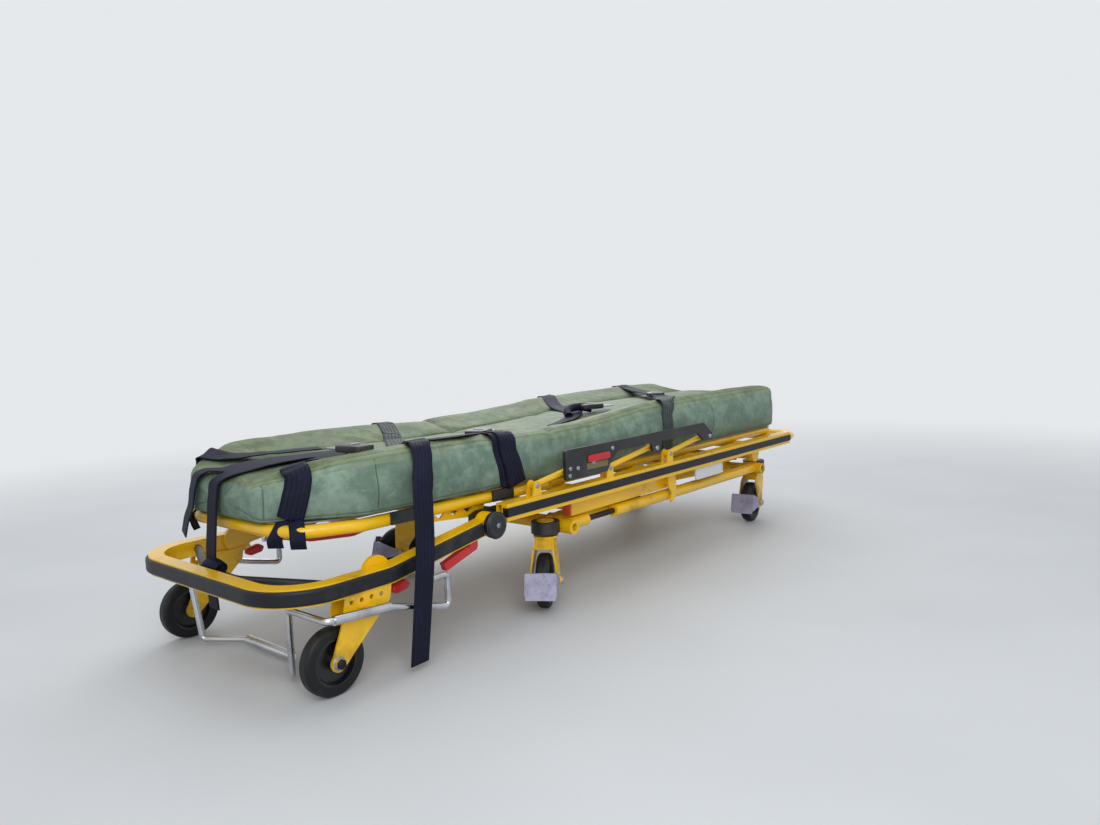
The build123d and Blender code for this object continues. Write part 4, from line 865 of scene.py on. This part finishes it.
# Belts that lie on the cover and hang from its edge: name, side, height above the cover, share of
# the trough, stops, points of the free stretch, its across directions, its steps and its last width
HUNG_BELTS = (
    # second layer of the chest belt, which leaves the near edge and hangs to the floor
    ("chest_belt_tail", -1, 0.0055, 0.8, ((-0.596, -0.130), (-0.630, -0.195), (-0.656, -0.240)),
     ((-0.664, -0.2545, 0.4190), (-0.669, -0.2650, 0.402), (-0.689, -0.284, 0.362), (-0.705, -0.303, 0.300),
      (-0.716, -0.3140, 0.230), (-0.729, -0.3135, 0.120), (-0.741, -0.311, 0.016)),
     ((0.98, -0.1, 0.05), (1.0, 0.05, 0.0)), 60, BELT_W),
    # shoulder belts in the trough and over the head end
    ("shoulder_belt_near", -1, 0.004, 0.7,
     ((-0.700, -0.060), (-0.790, -0.048), (-0.880, -0.034), (-0.930, -0.014)),
     ((-0.943, -0.006, 0.3810), (-0.9545, 0.002, 0.373), (-0.9590, 0.008, 0.345), (-0.9600, 0.018, 0.290),
      (-0.961, 0.026, 0.240), (-0.960, 0.032, 0.204)), ((0.15, 0.98, 0.0), (0.0, 1.0, 0.0)), 40, 0.036),
    ("shoulder_belt_far", 1, 0.003, 0.7,
     ((-0.690, -0.040), (-0.780, -0.018), (-0.868, 0.012), (-0.920, 0.046)),
     ((-0.938, 0.064, 0.3880), (-0.951, 0.078, 0.380), (-0.9585, 0.087, 0.352), (-0.9595, 0.099, 0.315),
      (-0.9605, 0.116, 0.290), (-0.961, 0.132, 0.256)), ((0.25, 0.97, 0.0), (0.28, 0.93, 0.22)), 40, 0.038),
)


def over_edge(name, side, rise, hollow, stops, points, directions, count, last, mattress, cloth):
    """Belt that lies on the cover, then leaves it and hangs; its width eases to the last one."""
    line, across = over_mattress(side, rise, hollow, stops, 60)
    free, beside = hanging(points, directions, count)
    across = across * np.sign(np.sum(across[-1] * beside[0]))
    width = np.r_[np.full(len(line), BELT_W), np.linspace(BELT_W, last, count)]
    piece = belt(name, np.concatenate((line, free)), np.concatenate((across, beside)), cloth[0], width,
                 mattress, rise - 0.001)
    return own(piece, "backrest")


def make_belts(mattress, cloths):
    """The belts on the cover, the tail that hangs free, and those over the head end."""
    for number, (name, body, finish, width, side, rise, hollow, stops) in enumerate(LAID_BELTS):
        line, across = over_mattress(side, rise, hollow, stops, LAID_COUNT)
        piece = belt(name, line, across, cloths[finish][0], width, mattress, rise - 0.0006,
                     MAP_SHIFT * number)
        own(piece, body)
        if name in BELTS_FOR:
            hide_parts(BELTS_FOR[name])
    for row in HUNG_BELTS:
        over_edge(*row, mattress, cloths["navy"])


def on_top(x, y, rise):
    """Point above the cover at a station and a signed half width."""
    point = mattress_skin(x, PROFILE_LENGTH - y, 0.7)
    return float(point[0]), float(point[1]), float(point[2]) + rise


def make_buckles(black, steel, cloth):
    """Buckle housings with steel tongues and buttons, and the knot of the thigh belt."""
    # name, body, station, half width, turn in degrees
    for name, body, x, y, turn in (
        ("chest", "backrest", -0.762, -0.176, 96.0),
        ("waist", "fold", -0.400, -0.150, 24.0),
        ("thigh", "litter", 0.128, -0.062, -20.0),
        ("shin", "litter", 0.470, -0.055, 46.0),
    ):
        px, py, pz = on_top(x, y, 0.009)
        angle = radians(turn)
        # part, shift along the belt, two corners round its middle, squareness, finish
        for part, shift, low, high, square, finish in (
            ("buckle", 0.0, (-0.034, -0.024, -0.003), (0.034, 0.024, 0.012), 0.30, black),
            ("tongue", 0.048, (-0.022, -0.017, 0.001), (0.022, 0.017, 0.004), 0.25, steel),
            ("button", 0.0, (-0.006, -0.013, 0.009), (0.007, 0.013, 0.014), 0.35, steel),
        ):
            middle = np.array((px + shift * cos(angle), py + shift * sin(angle), pz))
            piece = block(f"{name}_{part}", middle + low, middle + high, square, finish, body, angle)
    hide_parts("back_buckles")
    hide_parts("leg_buckles")
    path = ((0.020, -0.072, 0.004), (0.040, -0.050, 0.013), (0.075, -0.040, 0.017), (0.110, -0.050, 0.014),
            (0.128, -0.066, 0.007))
    tube("thigh_knot", [on_top(*place) for place in path], 0.011, cloth, "litter", 12)


# Hardware

def screw(name, centre, axis, radius, finish, body, flats=0):
    """Low domed head: a cylinder that closes over a quarter of an ellipse."""
    turn = np.linspace(0, pi / 2, 7)
    dome = [(radius * (0.35 + 0.30 * sin(t)), radius * (0.25 + 0.75 * cos(t))) for t in turn]
    return turned(name, [(0.0, radius), *dome], centre, axis, finish, body, 24 if flats else 20, flats)


def make_bosses(black, ring_steel, steel):
    """Black caps on the drop-frame pins, each with a thin dull ring and a screw."""
    cap = ((-0.001, 0.0262), (0.0012, 0.0262), (0.0030, 0.0240), (0.0036, 0.0205), (0.0028, 0.0185),
           (0.0022, 0.0120), (0.0034, 0.0095), (0.0040, 0.0060), (0.0040, 0.0010))
    ring = ((-0.001, 0.0288), (0.0008, 0.0288), (0.0016, 0.0280), (0.0016, 0.0268), (0.0006, 0.0262))
    x, z = DROP_PIVOT
    for name, side in SIDES:
        out = (0, side, 0)
        turned("boss_cap_" + name, cap, (x, side * BOSS_FACE_Y, z), out, black, "litter", 48)
        turned("boss_ring_" + name, ring, (x, side * (BOSS_FACE_Y - 0.001), z), out, ring_steel, "litter", 48)
        screw("boss_screw_" + name, (x, side * (BOSS_FACE_Y + 0.003), z), out, 0.0052, steel, "litter")


def make_rail_fittings(steel, orange, red, olive):
    """Screws at the lugs and posts, latches on the side bars and plugs in the track ends."""
    panel_screws = ((-0.264, 0.318), (-0.236, 0.316), (-0.266, 0.302), (-0.100, 0.346))
    guide = ((-0.202, 0.307), (-0.120, 0.306), (-0.120, 0.321), (-0.202, 0.322))
    for name, side in SIDES:
        out, bar, face = (0, side, 0), "bar_" + name, side * BAR_FACE_Y
        for number, x in enumerate(LUG_STATIONS, 1):
            place = (x, side * LUG_FACE_Y, LUG_Z)
            screw(f"lug_screw_{name}_{number}", place, out, 0.0055, steel, "litter", 6)
            place = (x + POST_REACH[0], face, LUG_Z + POST_REACH[1])
            screw(f"bar_screw_{name}_{number}", place, out, 0.0060, steel, bar)
        for number, (x, z) in enumerate(panel_screws, 1):
            screw(f"panel_screw_{name}_{number}", (x, face, z), out, 0.0048, steel, bar)
        low, high = sorted((face - side * 0.001, face + side * 0.004))
        block("latch_" + name, (-0.199, low, 0.3235), (-0.113, high, 0.3405), 0.35, red, bar)
        plate("latch_guide_" + name, guide, face - side * 0.002, face + side * 0.0012, olive, bar)
        end = np.array(TRACK_END) * (1, side, 1)
        block("track_plug_" + name, end - (0.005, 0.012, 0.0155), end + (0.002, 0.012, 0.0155), 0.4, orange,
              "litter")


def caster_axle(kingpin, direction):
    """Middle of a caster's axle, which trails from the kingpin in a direction in degrees."""
    turn = radians(direction)
    return kingpin[0] + CASTER_TRAIL * cos(turn), kingpin[1] + CASTER_TRAIL * sin(turn), CASTER_AXLE_Z


def make_wheel_fittings(dark, steel):
    """Axle bolts and washers of the load wheels and of the casters."""
    washer = ((0.0, 0.0125), (0.0014, 0.0125), (0.0020, 0.0115), (0.0020, 0.002))
    x, _, z = LOAD_AXLE
    for name, side in SIDES:
        out = (0, side, 0)
        turned("axle_washer_" + name, washer, (x, side * LOAD_WASHER_Y, z), out, steel, "drop_frame", 36)
        screw("axle_bolt_" + name, (x, side * LOAD_NUT_Y, z), out, 0.0085, dark, "drop_frame", 6)
    for name, kingpin, direction in CASTERS:
        turn = radians(direction)
        for number, way in enumerate((-1, 1)):
            out = np.array((-sin(turn) * way, cos(turn) * way, 0.0))
            centre = caster_axle(kingpin, direction) + out * CASTER_NUT_Y
            screw(f"caster_bolt_{name}_{number}", centre, out, 0.0075, steel, "fork_" + name, 6)


def make_bore_shades(dark):
    """Painted shade: dark dished discs at the bottom of the bores in the base's corner castings stand for the
    shade inside them.
    """
    cup = ((0.0, BORE_R), (0.0012, BORE_R), (0.0004, BORE_R * 0.8), (-0.0006, BORE_R * 0.4),
           (-0.0008, 0.0005))
    for end, x in BORE_X.items():
        for name, side in SIDES:
            turned(f"bore_shade_{end}_{name}", cup, (x, side * BORE_Y, BASE_Z), (0, side, 0), dark, "base", 32)


def make_head_fittings(cloth, red):
    """Loops round the tube at the head corners, the knot on the strut, its flap and the red levers."""
    # the loop's two legs part below the belt and go round the tube: station and half width of
    # a leg's top and of the place where it passes outside the tube
    legs = ((-0.911, 0.154, -0.930, 0.150), (-0.900, 0.176, -0.911, 0.195))
    for name, side in SIDES:
        for number, (x0, y0, x1, y1) in enumerate(legs):
            path = ((x0, side * y0, 0.306), ((x0 + x1) / 2 - 0.002, side * ((y0 + y1) / 2 + 0.004), 0.292),
                    (x1, side * y1, 0.272), (x1 + 0.004, side * (y1 - 0.004), 0.257))
            free = hanging(path, ((0.72, side * 0.60, 0.15), (0.76, side * 0.64, -0.05)), 24)
            own(belt(f"corner_loop_{name}_{number}", *free, cloth[0], 0.028), "backrest")
    path = ((-0.955, 0.006, 0.200), (-0.957, 0.022, 0.206), (-0.957, 0.044, 0.204), (-0.956, 0.056, 0.194))
    tube("strut_knot", path, 0.015, cloth, "drop_frame", 16)
    path = ((-0.962, 0.030, 0.196), (-0.965, 0.030, 0.175), (-0.963, 0.029, 0.150), (-0.962, 0.028, 0.122))
    own(belt("strut_flap", *hanging(path, (0.05, 1.0, 0.0), 20), cloth[0], 0.040), "drop_frame")
    outline = ((-0.760, 0.164), (-0.728, 0.170), (-0.716, 0.162), (-0.722, 0.150), (-0.750, 0.146),
               (-0.762, 0.152))
    for name, side in SIDES:
        plate("wheel_lever_" + name, outline, side * 0.252, side * 0.268, red, "drop_frame", 0.004)


def dress_cad(finishes):
    """Give every CAD node the finish of its slot in the record; wheels get rings round their axles."""
    slots = {item["node"]: item["material_slot"] for item in frame["record"]["subparts"]}
    x, y, z = LOAD_AXLE
    centres = {"load_tyre_" + name: (x, side * y, z) for name, side in SIDES}
    for name, kingpin, direction in CASTERS:
        centres["caster_wheel_" + name] = caster_axle(kingpin, direction)
    for node, piece in frame["nodes"].items():
        finish = finishes[slots[node]]
        if node == "base_rods":
            finish = metal("threaded_rod", srgb(70, 62, 56), 0.42, 0.2, 0.4, thread=0.0035)
        if node in centres:
            finish = rubber("rubber_" + node, srgb(18, 19, 23), centres[node], 0.50)
        for slot in piece.material_slots:
            slot.link = "DATA"
            slot.material = finish
        if not piece.material_slots:
            piece.data.materials.append(finish)


def make_room():
    """Plain pale floor that fades into a pale world."""
    backdrop = (0.79, 0.81, 0.83, 1.0)
    f = Finish("floor", specular=0.3)
    f.feed("Base Color", f.mix(f.noise(2.0, 2.0).step(0.3, 0.7), (0.66, 0.67, 0.68), (0.63, 0.64, 0.65)))
    f.feed("Roughness", 0.55)
    x, y, _ = f.axes(f.place())
    far = (x * x + y * y).root().step(1.5, 4.0) * Number(f, f.node("LightPath"))
    glow = f.node("Emission", None, {"Color": backdrop, "Strength": 1.0})
    mixed = f.node("MixShader", None, (far, f.shader.outputs[0], glow))
    f.plug(mixed, f.tree.nodes["Material Output"].inputs[0])
    side = 9.0
    floor = new_piece("floor", ((-side, -side, 0), (side, -side, 0), (side, side, 0), (-side, side, 0)),
                      [[0, 1, 2, 3]], f.material)
    world = bpy.data.worlds.new("room")
    scene.world = world
    t = Tree(world)
    light = t.tree.nodes["Background"]
    t.plug((0.86, 0.92, 1.0, 1.0), light.inputs["Color"])
    t.plug(0.50, light.inputs["Strength"])
    wall = t.node("Background", None, {"Color": backdrop, "Strength": 1.0})
    seen = Number(t, t.node("LightPath", output="Is Camera Ray"))
    for name in ("Is Glossy Ray", "Is Transmission Ray"):
        seen = seen.join("MAXIMUM", seen, t.node("LightPath", output=name))
    mixed = t.node("MixShader", None, (seen, light.outputs[0], wall))
    t.plug(mixed, t.tree.nodes["World Output"].inputs[0])
    add_lamp("key", (-2.6, -2.8, 2.4), (-0.3, 0.0, 0.25), 2.8, 80, (0.97, 0.99, 1.0))
    add_lamp("sky", (0.4, 0.8, 3.6), (-0.1, 0.0, 0.3), 3.4, 48, (1.0, 0.98, 0.93))
    add_lamp("rim", (2.4, 2.2, 1.8), (0.0, 0.0, 0.3), 2.0, 30, (0.92, 0.96, 1.0))


def build():
    """Dress the frame and add every piece."""
    scene.view_settings.view_transform = "Standard"
    add_camera()
    make_room()
    # a finish that shapes are given is a pair of material and slot
    navy = (webbing("navy_webbing", srgb(9, 11, 26), srgb(25, 30, 62)), "navy_webbing")
    # the pale webbing is a lit copy of the navy one: its grey is painted highlight
    pale = (webbing("highlit_webbing", srgb(52, 56, 60), srgb(104, 110, 106)), "navy_webbing")
    black = (plastic("black_plastic", srgb(20, 21, 25), 0.36, 0.3), "black_plastic")
    red = (plastic("red_plastic", srgb(196, 26, 34), 0.30, 0.2), "red_plastic")
    steel = (metal("bare_steel", srgb(176, 178, 184), 0.34, 0.8, 0.6), "bare_steel")
    dark = (metal("dark_steel", srgb(58, 58, 62), 0.40, 0.4, 0.4), "black_plastic")
    buckle_steel = (metal("buckle_steel", srgb(128, 130, 136), 0.30, 0.4, 0.5), "bare_steel")
    ring_steel = (metal("boss_ring_steel", srgb(74, 78, 86), 0.38, 0.4, 0.5), "chrome")
    orange = (plastic("orange_plug", srgb(210, 78, 34), 0.4, 0.3), "red_plastic")
    olive = (plastic("olive_guide", srgb(112, 100, 56), 0.45, 0.3), "black_plastic")
    # materials of the CAD nodes by their slots in the record
    finishes = {
        "yellow_paint": paint("yellow_paint", srgb(252, 198, 6), srgb(112, 80, 22), srgb(206, 164, 70)),
        "black_rubber": rubber("black_rubber", srgb(18, 21, 27), rough=0.42),
        "black_plastic": black[0],
        "tyre_rubber": rubber("tyre_rubber", srgb(18, 19, 23)),
        "wheel_hub": plastic("wheel_hub", srgb(16, 16, 20), 0.22, 0.3),
        "red_plastic": red[0],
        "chrome": metal("chrome", srgb(200, 202, 206), 0.12, 0.4, 0.15),
        "bare_steel": metal("pedal_steel", srgb(172, 170, 192), 0.46, 0.5, 0.35),
        "deck_sheet": metal("deck_sheet", srgb(150, 150, 150), 0.42, 1.0, 0.2),
        "green_vinyl": vinyl(),
        "navy_webbing": plastic("anchor_black", srgb(22, 24, 34), 0.5),
        "white_plastic": plastic("white_plastic", srgb(214, 216, 216), 0.34, 0.2),
    }
    dress_cad(finishes)
    mattress = make_mattress(finishes["green_vinyl"])
    make_belts(mattress, {"navy": navy, "pale": pale})
    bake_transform(mattress)
    make_buckles(black, buckle_steel, navy)
    make_bosses(black, ring_steel, steel)
    make_rail_fittings(steel, orange, red, olive)
    make_wheel_fittings(dark, steel)
    make_head_fittings(navy, red)
    # the dark discs in the bores are painted shade
    make_bore_shades((finishes["black_rubber"], "black_rubber"))


build()
